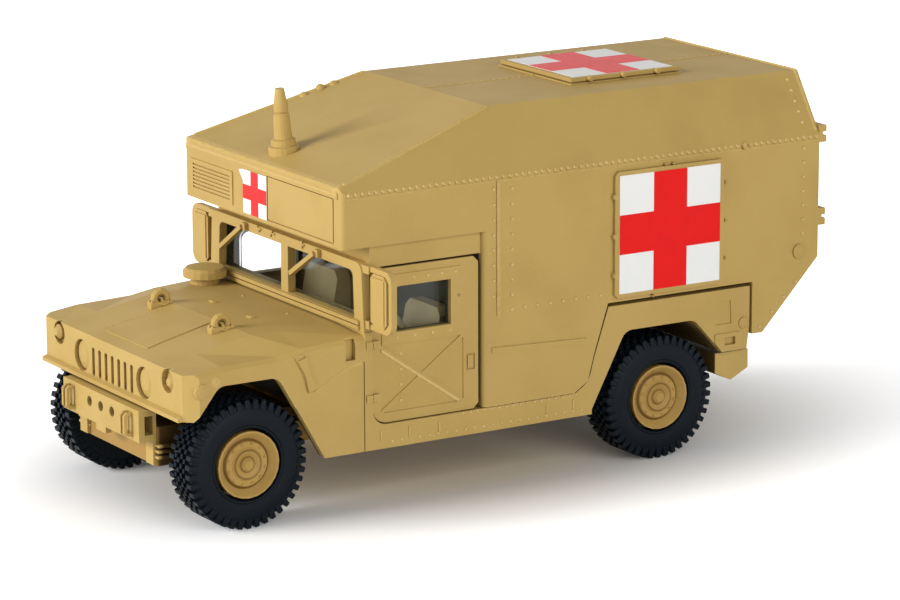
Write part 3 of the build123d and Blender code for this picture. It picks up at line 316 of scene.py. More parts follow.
# a paler coat of the same paint, a painted highlight on rivets, braces and folded edges
highlit_sand = sand_paint("highlit sand paint", (198, 171, 108), 0.20, 0.9)
chassis_sand = sand_paint("chassis plastic", (160, 126, 66), 0.25)
print("sand paints made")

# %% [markdown]
# The seats and dashboard are bare pale plastic that falls into shade in every corner, so one
# wide occlusion mask between two colours is enough.

# %% Cab plastic
CAB_CORNER = 1.6 * MM
CAB_PALE = shade(176, 160, 118)
CAB_SHADE = shade(44, 56, 50)


def cab_plastic():
    finish = new_finish("cab plastic", Metallic=0.0, Specular_IOR_Level=PAINT_GLOSS, Roughness=0.6)
    corner = finish.closeness(CAB_CORNER, False).above(0.15, 0.80)
    finish.feed(Base_Color=finish.mix(corner, CAB_PALE, CAB_SHADE))
    return finish.material


cab_sand = cab_plastic()
print("cab plastic made")

# %% [markdown]
# The rims are sprayed a little darker than the body. Their turned grooves are too shallow for
# the occlusion mask alone to find, so the painted shade in them is drawn as three rings about the
# axle. Each ring is full at its own radius and fades out to both sides.

# %% Rim paint
# radius and half width in millimetres, and strength
RIM_RINGS = ((1.88, 0.15, 1.0), (1.12, 0.11, 0.75), (0.60, 0.09, 0.70))
RING_CORE_SHARE = 0.3
RIM_GROOVE = 0.40 * MM
RIM_PALE = shade(174, 141, 78)
RIM_DEEP = shade(160, 127, 66)
RIM_GROOVE_SHADE = shade(92, 64, 24)


def rim_paint():
    finish = new_finish("rim paint", Metallic=0.0, Specular_IOR_Level=PAINT_GLOSS)
    radius = from_axle(finish)
    clouds = finish.noise(420.0, 3.0)
    # painted shade in the rim's grooves and corners
    shaded_grooves = finish.closeness(RIM_GROOVE, False).above(0.30, 0.90)
    for middle, width, strength in RIM_RINGS:
        offset = radius - middle * MM
        outside = past(offset.either(offset * -1), (RING_CORE_SHARE * width, width))
        shaded_grooves = shaded_grooves.either((1 - outside) * strength)
    paint = finish.mix(clouds.above(0.35, 0.70) * 0.5, RIM_PALE, RIM_DEEP)
    base = finish.mix(shaded_grooves * 0.85, paint, RIM_GROOVE_SHADE)
    finish.feed(Base_Color=base, Roughness=clouds * 0.14 + 0.44)
    return finish.material


rim_sand = rim_paint()
print("rim paint made with", len(RIM_RINGS), "rings")

# %% [markdown]
# The tyres are soft black plastic, dusted with brown where the tread has touched the ground.
# Broad patches of a bluish black on the dark base are a painted sheen, which reads as rubber, and
# a speckled mask puts the dust on.

# %% Tyre rubber
# light values, as the rubber is very dark
RUBBER_BLACK = (0.0020, 0.0042, 0.0070, 1)
RUBBER_SHEEN = (0.0042, 0.0075, 0.0112, 1)
ROAD_DUST = (0.085, 0.066, 0.038, 1)
RUBBER_BUMP = 0.03 * MM


def tyre_rubber():
    finish = new_finish("tyre rubber", Metallic=0.0, Specular_IOR_Level=0.10)
    dust = finish.noise(1900.0, 5.0, 0.7).above(0.62, 0.74)
    broad = finish.noise(260.0, 2.0)
    # broad noise mixes in RUBBER_SHEEN, a painted sheen
    base = finish.mix(dust * 0.30, finish.mix(broad, RUBBER_BLACK, RUBBER_SHEEN), ROAD_DUST)
    bump = finish.bump(finish.noise(5200.0, 2.0), 0.30, RUBBER_BUMP)
    finish.feed(Base_Color=base, Roughness=broad * 0.16 + 0.32, Normal=bump)
    return finish.material


rubber = tyre_rubber()
print("rubber made")

# %% [markdown]
# The panes are clear plastic moulded thick, almost without a tint. Transmission with a low
# roughness lets the cab show through them, and a faint smear keeps the surface from looking
# like a hole.

# %% Clear glazing
PANE_TINT = (0.93, 0.97, 0.96, 1)
PANE_CLEAR = (0.99, 1.0, 0.99, 1)


def clear_glazing():
    finish = new_finish("clear glazing", Metallic=0.0, IOR=1.25, Transmission_Weight=1.0)
    smears = finish.noise(240.0, 3.0)
    finish.feed(Base_Color=finish.mix(smears, PANE_TINT, PANE_CLEAR), Roughness=smears * 0.04 + 0.01)
    return finish.material


glazing = clear_glazing()
print("glazing made")

# %% [markdown]
# The crosses are printed transfers: opaque, thin, with a satin varnish. White is kept just below
# paper white so that it still shows form under the lamps.

# %% Printed white and red
def print_ink(name, red, green, blue):
    """A printed colour, faded a little in patches."""
    finish = new_finish(name, Metallic=0.0, Specular_IOR_Level=0.20)
    worn = finish.noise(900.0, 4.0)
    faded = shade(red * 0.95, min(green * 0.97 + 5, 255), min(blue * 0.95 + 5, 255))
    colour = finish.mix(worn.above(0.45, 0.75) * 0.5, shade(red, green, blue), faded)
    finish.feed(Base_Color=colour, Roughness=worn * 0.10 + 0.34)
    return finish.material


white_ink = print_ink("printed white", 235, 234, 231)
red_ink = print_ink("printed red", 226, 8, 2)
print("inks made")

# %% [markdown]
# The axle pins are bare steel wire, the only metal in the model.

# %% Axle steel
STEEL_DULL = (0.42, 0.41, 0.40, 1)
STEEL_BRIGHT = (0.56, 0.55, 0.53, 1)


def axle_metal():
    finish = new_finish("axle steel", Metallic=1.0)
    streaks = finish.noise(2400.0, 2.0)
    finish.feed(Base_Color=finish.mix(streaks, STEEL_DULL, STEEL_BRIGHT), Roughness=streaks * 0.15 + 0.28)
    return finish.material


steel = axle_metal()
print("steel made")

# %% [markdown]
# Each CAD part carries a slot name that says what it is made of, so the finishes are handed out
# by that name in one pass.

# %% Give the CAD parts their finishes
SLOT_FINISH = {
    "sand_paint": sand,
    "rim_paint": rim_sand,
    "tyre_rubber": rubber,
    "clear_glazing": glazing,
    "cab_plastic": cab_sand,
    "chassis_plastic": chassis_sand,
    "cross_panel": sand,
    "axle_steel": steel,
}
for part in frame["record"]["subparts"]:
    node = frame["nodes"][part["node"]]
    node.data.materials.clear()
    node.data.materials.append(SLOT_FINISH[part["material_slot"]])
print(len(frame["nodes"]), "parts painted")

# %% [markdown]
# Blender's operators act on whatever is selected, and the loaded model arrives selected. These
# helpers start each piece from a clean slate, and hand each finished piece its material and the
# body that it rides on, so that a wheel's parts turn with the wheel.

# %% Helpers for making pieces
# sharper edges than this stay crisp under smooth shading
PIECE_CREASE = radians(32)


def clear():
    """Nothing selected and no edit mode left open."""
    if bpy.context.object and bpy.context.object.mode != "OBJECT":
        bpy.ops.object.mode_set(mode="OBJECT")
    bpy.ops.object.select_all(action="DESELECT")


def choose(obj):
    """Makes one object the selected and active one."""
    clear()
    obj.select_set(True)
    bpy.context.view_layer.objects.active = obj


def settle(obj):
    """Bakes an object's place into its mesh, so that the object itself sits at the origin."""
    choose(obj)
    bpy.ops.object.transform_apply(location=True, rotation=True, scale=True)


def fuse(objs):
    """Joins several objects into one mesh."""
    choose(objs[0])
    for obj in objs:
        obj.select_set(True)
    bpy.ops.object.join()
    joined = bpy.context.object
    settle(joined)
    return joined


def finish_piece(obj, name, material, body="vehicle"):
    """Names a piece, paints it, softens its shading and fixes it to a body."""
    obj.name = name
    obj.data.materials.clear()
    obj.data.materials.append(material)
    choose(obj)
    bpy.ops.object.shade_smooth_by_angle(angle=PIECE_CREASE)
    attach(obj, body)
    return obj


print("helpers ready")

# %% [markdown]
# A flat-shaded moulding looks faceted on its round parts. Shading smooth below a fixed angle
# keeps the wheels, cone and rounded corners soft and the folded edges crisp.

# %% Smooth shading on the CAD parts
CAD_CREASE = radians(28)
for node in frame["nodes"].values():
    choose(node)
    bpy.ops.object.shade_smooth_by_angle(angle=CAD_CREASE)
clear()
print("CAD parts shaded smooth")

# %% [markdown]
# Most small pieces start as a box whose edges are bevelled, as a mould softens them. Faces to be
# shaped further are picked in code, by their place or by the way they face.

# %% Boxes, bevels and picked faces
def slab(low, high):
    """A box between two corners, given in metres."""
    clear()
    centre = [(a + b) / 2 for a, b in zip(low, high)]
    bpy.ops.mesh.primitive_cube_add(size=1, location=centre)
    obj = bpy.context.object
    obj.scale = [abs(b - a) for a, b in zip(low, high)]
    settle(obj)
    return obj


def softened(obj, width, segments=1):
    """Bevels a piece's sharp edges, as a mould does."""
    choose(obj)
    bevel = obj.modifiers.new("soft edges", "BEVEL")
    bevel.width = width
    bevel.segments = segments
    bevel.limit_method = "ANGLE"
    bpy.ops.object.modifier_apply(modifier=bevel.name)
    return obj


def pick_faces(obj, test):
    """Opens edit mode with only the faces that pass a test selected."""
    choose(obj)
    bpy.ops.object.mode_set(mode="EDIT")
    bpy.ops.mesh.select_mode(type="FACE")
    bpy.ops.mesh.select_all(action="DESELECT")
    bpy.ops.object.mode_set(mode="OBJECT")
    for face in obj.data.polygons:
        face.select = test(face)
    bpy.ops.object.mode_set(mode="EDIT")


print("shaping helpers ready")

# %% [markdown]
# Rivets, knobs and clips all sit on curved or leaning plastic. Instead of working out each spot,
# a straight line is sent at the model from outside, and the piece is stood where it lands, with
# its own Z axis along the surface's normal. Then it can neither float nor sink.

# %% Landing small pieces on the model
def seat(node, start, toward, spin=0.0):
    """The place and tilt for a piece where a line from outside meets a part."""
    found, spot, normal, _ = frame["nodes"][node].ray_cast(start, toward)
    if not found:
        raise ValueError("no surface of " + node + " there")
    tilt = normal.to_track_quat("Z", "Y").to_matrix().to_4x4()
    return Matrix.Translation(spot) @ tilt @ Matrix.Rotation(spin, 4, "Z")


def on_side(node, side, station, height):
    """A seat on the wall of one side: 1 is the driver's and -1 the passenger's."""
    start = Vector((side * OUTSIDE, along(station), height * MM))
    return seat(node, start, Vector((-side, 0, 0)))


def paired(node, *spots):
    """Seats at the same stations and heights on both sides."""
    return [on_side(node, side, *spot) for side in (1, -1) for spot in spots]


def on_top(node, x, station, spin=0.0):
    """A seat on what faces up at x millimetres from the middle."""
    return seat(node, Vector((x * MM, along(station), OUTSIDE)), Vector((0, 0, -1)), spin)


def on_front(node, x, height, spin=0.0):
    """A seat on what faces forwards."""
    return seat(node, Vector((x * MM, -OUTSIDE, height * MM)), Vector((0, 1, 0)), spin)


print("seats ready on", len(frame["nodes"]), "parts")

# %% [markdown]
# A red cross on white is carried on both sides, on the roof and on the front. The white field is
# a thin slab. The cross is a three by three grid whose corner squares are deleted, then given
# thickness by an extrusion, which keeps its arms and its edges perfectly square.

# %% Red crosses
FILM = 0.03 * MM
# between the grid's inner lines, at a sixth, and its outer ones, at a half
GRID_SPLIT = 0.3


def cross_print(name, centre, width, height, arm, facing):
    """A white field with a red cross, printed flat and then turned to face outwards."""
    field = slab((-width / 2, -height / 2, 0), (width / 2, height / 2, FILM))
    clear()
    bpy.ops.mesh.primitive_grid_add(x_subdivisions=3, y_subdivisions=3, size=1, location=(0, 0, FILM))
    cross = bpy.context.object
    for vertex in cross.data.vertices:
        reach_x = width if abs(vertex.co.x) > GRID_SPLIT else arm
        reach_y = height if abs(vertex.co.y) > GRID_SPLIT else arm
        vertex.co.x = (1 if vertex.co.x > 0 else -1) * reach_x / 2
        vertex.co.y = (1 if vertex.co.y > 0 else -1) * reach_y / 2
    pick_faces(cross, lambda face: min(abs(face.center.x), abs(face.center.y)) > arm / 2)
    bpy.ops.mesh.delete(type="FACE")
    bpy.ops.mesh.select_all(action="SELECT")
    bpy.ops.mesh.extrude_region_move(TRANSFORM_OT_translate={"value": (0, 0, FILM)})
    bpy.ops.mesh.select_all(action="SELECT")
    bpy.ops.mesh.normals_make_consistent(inside=False)
    bpy.ops.object.mode_set(mode="OBJECT")
    for obj, title, ink in ((field, "_field", white_ink), (cross, "_cross", red_ink)):
        settle(obj)
        obj.data.transform(Matrix.Translation(centre) @ facing)
        finish_piece(obj, name + title, ink)


FACE_FRONT = Matrix.Rotation(radians(90), 4, "X")
# by side: out to the driver's and to the passenger's
FACE_OUT = {side: Matrix.Rotation(radians(side * 90), 4, "Z") @ FACE_FRONT for side in (1, -1)}
ARM = 3.2 * MM
side_low, side_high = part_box("side_panel_left")
side_middle = (side_low + side_high) / 2
SIDE_PRINT = (9.72 * MM, 9.6 * MM)
ROOF_PRINT = (9.8 * MM, 9.7 * MM)
FRONT_PRINT = (3.75 * MM, 3.5 * MM)
FRONT_ARM = 1.15 * MM
FRONT_X, FRONT_Z = -0.9, 22.98
# the height at which the wall behind it is found
FRONT_WALL_Z = 22.95
for side, title in SIDES:
    centre = Vector((side * side_high.x, side_middle.y, side_middle.z))
    cross_print("side_print_" + title, centre, *SIDE_PRINT, ARM, FACE_OUT[side])
roof_low, roof_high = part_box("roof_panel")
roof_centre = Vector((0, (roof_low.y + roof_high.y) / 2, roof_high.z))
cross_print("roof_print", roof_centre, *ROOF_PRINT, ARM, Matrix.Identity(4))
front_y = on_front("shelter", FRONT_X, FRONT_WALL_Z).translation.y
front_centre = Vector((FRONT_X * MM, front_y, FRONT_Z * MM))
cross_print("front_print", front_centre, *FRONT_PRINT, FRONT_ARM, FACE_FRONT)
print("crosses printed")

# %% [markdown]
# The white field over the windscreen was put on a little askew, and its outer top corner strays
# past the square in a pointed flap. It is one flat corner: a three-sided disc, given thickness.

# %% The stray corner of the front print
# x and height of its three points
FLAP = ((-2.76, 24.73), (-3.45, 24.60), (-2.76, 23.75))
clear()
bpy.ops.mesh.primitive_circle_add(vertices=3, fill_type="NGON", radius=1)
flap = bpy.context.object
for vertex, (x, z) in zip(flap.data.vertices, FLAP):
    vertex.co = (x * MM, front_y, z * MM)
pick_faces(flap, lambda face: True)
bpy.ops.mesh.extrude_region_move(TRANSFORM_OT_translate={"value": (0, -FILM, 0)})
bpy.ops.mesh.select_all(action="SELECT")
bpy.ops.mesh.normals_make_consistent(inside=False)
finish_piece(flap, "front_print_flap", white_ink)
print("flap made")

# %% [markdown]
# What repeats is made once and copied, each copy with its own mesh, and the copies of one kind
# are joined into one piece.

# %% Rows and copies
def row(first, last, pitch):
    """Evenly spaced pairs from one place to another, the pitch stretched to fit."""
    first, last = Vector(first), Vector(last)
    count = max(1, round((last - first).length / pitch))
    return [first.lerp(last, i / count) for i in range(count + 1)]


def copied(template, place):
    """A copy of an object, its mesh moved to a place."""
    twin = template.copy()
    twin.data = template.data.copy()
    twin.data.transform(place)
    bpy.context.collection.objects.link(twin)
    return twin


def stamped(name, template, places, material, body="vehicle"):
    """Copies of one small piece at many places, joined into one mesh."""
    copies = [copied(template, place) for place in places]
    bpy.data.objects.remove(template)
    return finish_piece(fuse(copies), name, material, body)


print("copying helpers ready")

# %% [markdown]
# Rivets are what make the sheet-metal box look like one. A rivet head is a small ball pressed
# flat, made once and stamped along rows. Each row is given by its two ends, as station and
# height, and its pitch, and is laid on both sides of the truck.

# %% Rivet rows
def ball(radius, rise, segments=8):
    """A ball flattened to a given rise, its middle on the surface."""
    clear()
    bpy.ops.mesh.primitive_uv_sphere_add(segments=segments, ring_count=6, radius=radius)
    obj = bpy.context.object
    obj.scale.z = rise / radius
    settle(obj)
    return obj


# start (station, height), end (station, height), pitch
BELT_ROW = (((8.6, 25.15), (52.7, 25.15), 0.60),)
SHELTER_ROWS = (
    ((21.62, 15.7), (21.62, 24.2), 1.20),
    ((23.31, 14.4), (23.31, 24.1), 1.20),
    ((24.5, 14.5), (31.7, 14.5), 1.20),
    ((51.5, 17.2), (51.5, 24.3), 1.18),
    ((51.8, 26.3), (51.8, 29.5), 0.80),
    ((50.9, 13.2), (47.3, 9.9), 1.45),
)
SILL_ROWS = (
    ((18.9, 6.62), (29.5, 6.62), 0.66),
    ((12.4, 5.30), (30.0, 5.30), 0.84),
)
DOOR_ROWS = (
    ((14.55, 18.05), (18.3, 18.05), 1.25),
    ((13.0, 13.45), (17.8, 13.45), 1.60),
    ((18.6, 16.1), (18.6, 16.1), 1.0),
    ((13.4, 12.1), (13.4, 8.4), 1.20),
)
# piece, the left and right part that carries it, rows, radius and rise
RIVET_SETS = (
    ("belt_rivets", "shelter", "shelter", BELT_ROW, 0.17, 0.20),
    ("shelter_rivets", "shelter", "shelter", SHELTER_ROWS, 0.15, 0.13),
    ("sill_rivets", "lower_body", "lower_body", SILL_ROWS, 0.12, 0.10),
    ("door_rivets", "door_left", "door_right", DOOR_ROWS, 0.13, 0.09),
)


def side_rivets(name, node_left, node_right, rows, radius, rise):
    """Lays the rows on both sides as one piece and returns the number of rivets."""
    places = []
    for side, node in ((1, node_left), (-1, node_right)):
        for first, last, pitch in rows:
            places += [on_side(node, side, spot.x, spot.y) for spot in row(first, last, pitch)]
    # the rivet heads take the paler paint, a painted highlight
    stamped(name, ball(radius * MM, rise * MM), places, highlit_sand)
    return len(places)


print(sum([side_rivets(*rivet_set) for rivet_set in RIVET_SETS]), "side rivets")

# %% [markdown]
# A seam with smaller rivets runs along the middle of the roof and passes under the cross panel,
# so it is made in two lengths.

# %% Roof seam
# first and last rivet of each length
SEAM_STATIONS = ((23.6, 33.3), (44.4, 52.6))
SEAM_PITCH = 0.62
SEAM_HALF, SEAM_FOOT, SEAM_HEIGHT = 0.09 * MM, 0.02 * MM, 0.06 * MM
SEAM_END = 0.4
seam_places = []
for first, last in SEAM_STATIONS:
    seam_places += [on_top("shelter", 0, spot.x) for spot in row((first, 0), (last, 0), SEAM_PITCH)]
    roof_z = on_top("shelter", 0, first).translation.z
    low = (-SEAM_HALF, along(first - SEAM_END), roof_z - SEAM_FOOT)
    high = (SEAM_HALF, along(last + SEAM_END), roof_z - SEAM_FOOT + SEAM_HEIGHT)
    finish_piece(softened(slab(low, high), 0.02 * MM), "roof_seam_" + str(int(first)), sand)
stamped("roof_seam_rivets", ball(0.12 * MM, 0.10 * MM), seam_places, sand)
print(len(seam_places), "seam rivets")

# %% [markdown]
# The cross panels hang on the box by round-headed clips. A clip is a short turned knob: a low
# cylinder with its top edge bevelled.

# %% Panel clips
KNOB_FOOT = 0.15 * MM
KNOB_EDGE_SHARE = 0.4


def knob(radius, rise, sides=14):
    """A round button, its foot a little under the surface and its top edge rounded."""
    clear()
    bpy.ops.mesh.primitive_cylinder_add(
        vertices=sides, radius=radius, depth=rise + KNOB_FOOT, location=(0, 0, (rise - KNOB_FOOT) / 2),
    )
    obj = bpy.context.object
    settle(obj)
    pick_faces(obj, lambda face: face.normal.z > 0.9)
    bpy.ops.mesh.bevel(offset=rise * KNOB_EDGE_SHARE, segments=2, affect="EDGES")
    bpy.ops.object.mode_set(mode="OBJECT")
    return obj


# station and height of each clip and pin on a side
EDGE_CLIPS = ((32.90, 22.35), (32.90, 19.15), (32.90, 15.98))
EDGE_PINS = (
    (43.62, 22.38), (43.62, 19.24), (43.62, 16.13),
    (36.6, 13.88), (37.75, 24.48), (38.5, 24.48),
)
ROOF_CLIPS = (35.35, 38.6, 41.9)
# the wall is found a little ahead of a clip, clear of the panel's edge
WALL_AHEAD = 0.35
clips, pins, roof_clips = [], [], []
for side in (1, -1):
    for spots, seats in ((EDGE_CLIPS, clips), (EDGE_PINS, pins)):
        for station, height in spots:
            wall = on_side("shelter", side, station - WALL_AHEAD, height).translation.x
            spot = (wall, along(station), height * MM)
            seats.append(Matrix.Translation(spot) @ FACE_OUT[side])
    for station in ROOF_CLIPS:
        spot = (side * (roof_high.x - 0.02 * MM), along(station), roof_high.z - 0.14 * MM)
        roof_clips.append(Matrix.Translation(spot) @ FACE_OUT[side])
stamped("panel_clips", knob(0.26 * MM, 0.42 * MM), clips, sand)
stamped("panel_pins", knob(0.13 * MM, 0.36 * MM, 10), pins, sand)
stamped("roof_panel_clips", knob(0.24 * MM, 0.22 * MM), roof_clips, sand)
print(len(clips) + len(pins) + len(roof_clips), "clips and pins")

# %% [markdown]
# Some single fittings break up the plain walls: a hook on the belt, clips with tongues on the
# windscreen frame, studs and dots on the hood, a boss on each fender and stiffening marks along
# the sill. All but the round ones are one low bar with its edges bevelled.

# %% Single fittings
BAR_FOOT = 0.12 * MM
BAR_EDGE_SHARE = 0.35


def bar(length, width, rise):
    """A low rounded bar along X, its foot a little under the surface."""
    obj = slab((-length / 2, -width / 2, -BAR_FOOT), (length / 2, width / 2, rise))
    return softened(obj, min(width, rise) * BAR_EDGE_SHARE, 2)


# station and height on the sides; x and tilt on the frame; x on the hood
HOOK = (45.45, 25.15)
FRAME_CLIPS = ((-4.1, 40), (-1.95, -35), (2.95, 0))
FRAME_TONGUES = (-3.85, -1.65, 3.1)
FRAME_CLIP_HEIGHT = 19.42
STUDS, STUD_STATION = (-3.05, 3.1), 5.15
DOTS, DOT_STATION = (-3.6, 3.6), 8.2
SILL_MARKS, SILL_MARK_HEIGHT = (11.4, 13.95, 16.7, 26.7, 29.2), 5.85
BOSS = (-2.95, 12.1)
hooks = paired("shelter", HOOK)
stamped("belt_hooks", bar(0.30 * MM, 0.62 * MM, 0.40 * MM), hooks, sand)
frame_clips = [on_front("lower_body", x, FRAME_CLIP_HEIGHT, radians(tilt)) for x, tilt in FRAME_CLIPS]
stamped("frame_clips", bar(0.20 * MM, 0.62 * MM, 0.16 * MM), frame_clips, sand)
tongues = [on_front("lower_body", x, FRAME_CLIP_HEIGHT, radians(90)) for x in FRAME_TONGUES]
stamped("frame_clip_tongues", bar(0.16 * MM, 0.42 * MM, 0.13 * MM), tongues, sand)
studs = [on_top("hood", x, STUD_STATION, radians(90)) for x in STUDS]
stamped("hood_studs", bar(0.42 * MM, 0.70 * MM, 0.14 * MM), studs, sand)
dots = [on_top("hood", x, DOT_STATION) for x in DOTS]
stamped("hood_dots", ball(0.14 * MM, 0.10 * MM), dots, sand)
marks = paired("lower_body", *[(station, SILL_MARK_HEIGHT) for station in SILL_MARKS])
stamped("sill_marks", bar(0.16 * MM, 0.82 * MM, 0.07 * MM), marks, sand)
bosses = paired("hood", BOSS)
stamped("fender_bosses", ball(0.42 * MM, 0.10 * MM, 14), bosses, sand)
print(len(hooks + frame_clips + tongues + studs + dots + marks + bosses), "fittings seated")

# %% [markdown]
# The tyres are the liveliest part of the model: coarse cross-country tread on a smooth sidewall.
# The carcass starts as a cylinder. Its two ends are inset again and again, each ring a little
# further in or out, which draws the sidewall; then the ends are opened and bridged to a tube.

# %% Tyre carcass
# a hair under the CAD tyre's size, so that no corner of a block is under the floor
FLOOR_HAIR = 0.01 * MM
tyre_low, tyre_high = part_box("front_tyre_left")
TYRE_OUTER = (tyre_high.z - tyre_low.z) / 2 - FLOOR_HAIR
CARCASS_SIDES = 84
TREAD_DEPTH = 0.29 * MM
CROWN_HALF = 1.42 * MM
# inwards along the radius, and outwards from the last ring, in millimetres
SIDEWALL = (
    (0.14, 0.13), (0.38, 0.11), (0.40, 0.05), (0.34, 0.01), (0.40, -0.04),
    (0.06, -0.05), (0.06, 0.05), (0.12, -0.01), (0.06, -0.12), (0.08, -0.16),
)


def carcass():
    """A smooth tyre about the X axis, open in the middle."""
    clear()
    bpy.ops.mesh.primitive_cylinder_add(
        vertices=CARCASS_SIDES, radius=TYRE_OUTER - TREAD_DEPTH,
        depth=2 * CROWN_HALF, rotation=(0, radians(90), 0),
    )
    obj = bpy.context.object
    settle(obj)
    for side in (1, -1):
        pick_faces(obj, lambda face: side * face.normal.x > 0.9)
        for inwards, outwards in SIDEWALL:
            bpy.ops.mesh.inset(thickness=inwards * MM, depth=outwards * MM)
        bpy.ops.object.mode_set(mode="OBJECT")
    pick_faces(obj, lambda face: len(face.vertices) > 4)
    bpy.ops.mesh.delete(type="ONLY_FACE")
    bpy.ops.mesh.select_mode(type="EDGE")
    bpy.ops.mesh.select_all(action="DESELECT")
    bpy.ops.mesh.select_non_manifold(extend=False)
    bpy.ops.mesh.bridge_edge_loops()
    bpy.ops.mesh.select_all(action="SELECT")
    bpy.ops.mesh.normals_make_consistent(inside=False)
    bpy.ops.object.mode_set(mode="OBJECT")
    return obj


tube = carcass()
print("carcass faces", len(tube.data.polygons))

# %% [markdown]
# The tread has a ring of lugs over each shoulder and four staggered columns of blocks between
# them. Each kind of block is one bevelled cube that narrows towards its top, and is copied round
# the tyre by turning it about the axle.

# %% Tread blocks
LUG_COUNT = 42
LUG_PITCH = 2 * pi / LUG_COUNT
# middle across the tyre, width across, width round the tyre, depth of its foot below its face,
# shift in pitches
BLOCKS = (
    (1.30, 0.84, 0.50, 0.78, 0.0),
    (0.66, 0.34, 0.46, 0.60, 0.5),
    (0.22, 0.36, 0.50, 0.60, 0.1),
    (-0.22, 0.36, 0.50, 0.60, 0.6),
    (-0.66, 0.34, 0.46, 0.60, 0.2),
    (-1.30, 0.84, 0.50, 0.78, 0.5),
)
FACE_TAPER = (0.88, 0.82, 1.0)
BLOCK_EDGE = 0.045 * MM


def tread_block(across, round_width, foot):
    """One block at the top of the tyre, its face smaller than its foot."""
    low = (-across * MM / 2, -round_width * MM / 2, TYRE_OUTER - foot * MM)
    obj = slab(low, (across * MM / 2, round_width * MM / 2, TYRE_OUTER))
    pick_faces(obj, lambda face: face.normal.z > 0.9)
    bpy.ops.transform.resize(value=FACE_TAPER)
    bpy.ops.object.mode_set(mode="OBJECT")
    return softened(obj, BLOCK_EDGE)


blocks = []
for middle, across, round_width, foot, shift in BLOCKS:
    template = tread_block(across, round_width, foot)
    for i in range(LUG_COUNT):
        turned = Matrix.Rotation((i + shift) * LUG_PITCH, 4, "X")
        blocks.append(copied(template, turned @ Matrix.Translation((middle * MM, 0, 0))))
    bpy.data.objects.remove(template)
tyre = fuse([tube] + blocks)
print("one tyre has", len(tyre.data.polygons), "faces")

# %% [markdown]
# The finished tyre stands in for the plainer one of the CAD model at all four wheels. Each copy
# is turned by a few lugs, so that no two wheels look alike.

# %% Four tyres
# the CAD tyre, its body, and the turn in lugs
WHEELS = (
    ("front_tyre_left", "front_wheels", 0),
    ("front_tyre_right", "front_wheels", 5),
    ("rear_tyre_left", "rear_wheels", 9),
    ("rear_tyre_right", "rear_wheels", 14),
)
for node_name, body, lugs in WHEELS:
    low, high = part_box(node_name)
    centre = (low + high) / 2
    outwards = Matrix.Rotation(pi if centre.x < 0 else 0, 4, "Z")
    about = outwards @ Matrix.Rotation(lugs * LUG_PITCH, 4, "X")
    twin = copied(tyre, Matrix.Translation(centre) @ about)
    finish_piece(twin, node_name.replace("tyre", "tread"), rubber, body)
    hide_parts(node_name)
bpy.data.objects.remove(tyre)
print(len(WHEELS), "tyres fitted")

# %% [markdown]
# Each rim has a ring of small bolts round its hub. A bolt head is the rivets' flattened ball,
# seated on the rim by a line from outside, and it turns with the wheel set.

# %% Rim bolts
BOLT_COUNT = 12
BOLT_CIRCLE = 1.62 * MM
for node_name, body in (("front_rim", "front_wheels"), ("rear_rim", "rear_wheels")):
    axle_y = FRONT_AXLE_Y if body == "front_wheels" else REAR_AXLE_Y
    for side, title in SIDES:
        bolts = []
        for i in range(BOLT_COUNT):
            angle = 2 * pi * (i + 0.5) / BOLT_COUNT
            around = Vector((0, sin(angle), cos(angle)))
            start = Vector((side * OUTSIDE, axle_y, AXLE_Z)) + BOLT_CIRCLE * around
            bolts.append(seat(node_name + "_" + title, start, Vector((-side, 0, 0))))
        piece = stamped(node_name + "_bolts_" + title, ball(0.13 * MM, 0.11 * MM), bolts, rim_sand, body)
print("rim bolts set")

# %% [markdown]
# The far edge of the sloping roof carries three low eyes of different sizes, seen against the
# white background in the photograph. They are flattened domes on the slope near its side edge.

# %% Roof edge eyes
# across, station, radius and rise
EYES = ((-10.0, 17.6, 0.38, 0.26), (-9.75, 19.05, 0.42, 0.42), (-9.6, 20.2, 0.40, 0.26))
for number, (x, station, radius, rise) in enumerate(EYES):
    place = [on_top("shelter", x, station)]
    stamped("roof_eye_" + str(number), ball(radius * MM, rise * MM, 16), place, sand)
print(len(EYES), "roof eyes")

# %% [markdown]
# The two lifting rings on the hood are cast loops with a loose link lying in them. The link is a
# small torus, leaned back and pinned by a short bar; four bolt heads hold each foot.

# %% Links in the lifting rings
LINK_TILT = 52
LINK_RADIUS, LINK_WIRE, PIN_RADIUS, PIN_LENGTH = 0.46 * MM, 0.12 * MM, 0.11 * MM, 0.9 * MM
# below the ring's top, and behind its middle
LINK_DROP, LINK_BACK, PIN_DROP = 1.02 * MM, 0.16 * MM, 0.96 * MM
FOOT_BOLT_X, FOOT_BOLT_Y = 0.24, 0.86
links, feet = [], []
for name in ("lifting_ring_left", "lifting_ring_right"):
    low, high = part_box(name)
    middle = (low + high) / 2
    clear()
    bpy.ops.mesh.primitive_torus_add(
        major_segments=24, minor_segments=8, major_radius=LINK_RADIUS, minor_radius=LINK_WIRE,
        location=(middle.x, middle.y + LINK_BACK, high.z - LINK_DROP),
        rotation=(0, radians(90 - LINK_TILT), 0),
    )
    link = bpy.context.object
    settle(link)
    links.append(link)
    bpy.ops.mesh.primitive_cylinder_add(
        vertices=12, radius=PIN_RADIUS, depth=PIN_LENGTH,
        location=(middle.x, middle.y, high.z - PIN_DROP), rotation=(0, radians(90), 0),
    )
    pin = bpy.context.object
    settle(pin)
    links.append(softened(pin, 0.03 * MM))
    for dx in (-FOOT_BOLT_X, FOOT_BOLT_X):
        for dy in (-FOOT_BOLT_Y, FOOT_BOLT_Y):
            station = (middle.y - FRONT_AXLE_Y) / MM + dy
            feet.append(on_top(name, middle.x / MM + dx, station))
finish_piece(fuse(links), "ring_links", sand)
stamped("ring_bolts", ball(0.12 * MM, 0.12 * MM), feet, sand)
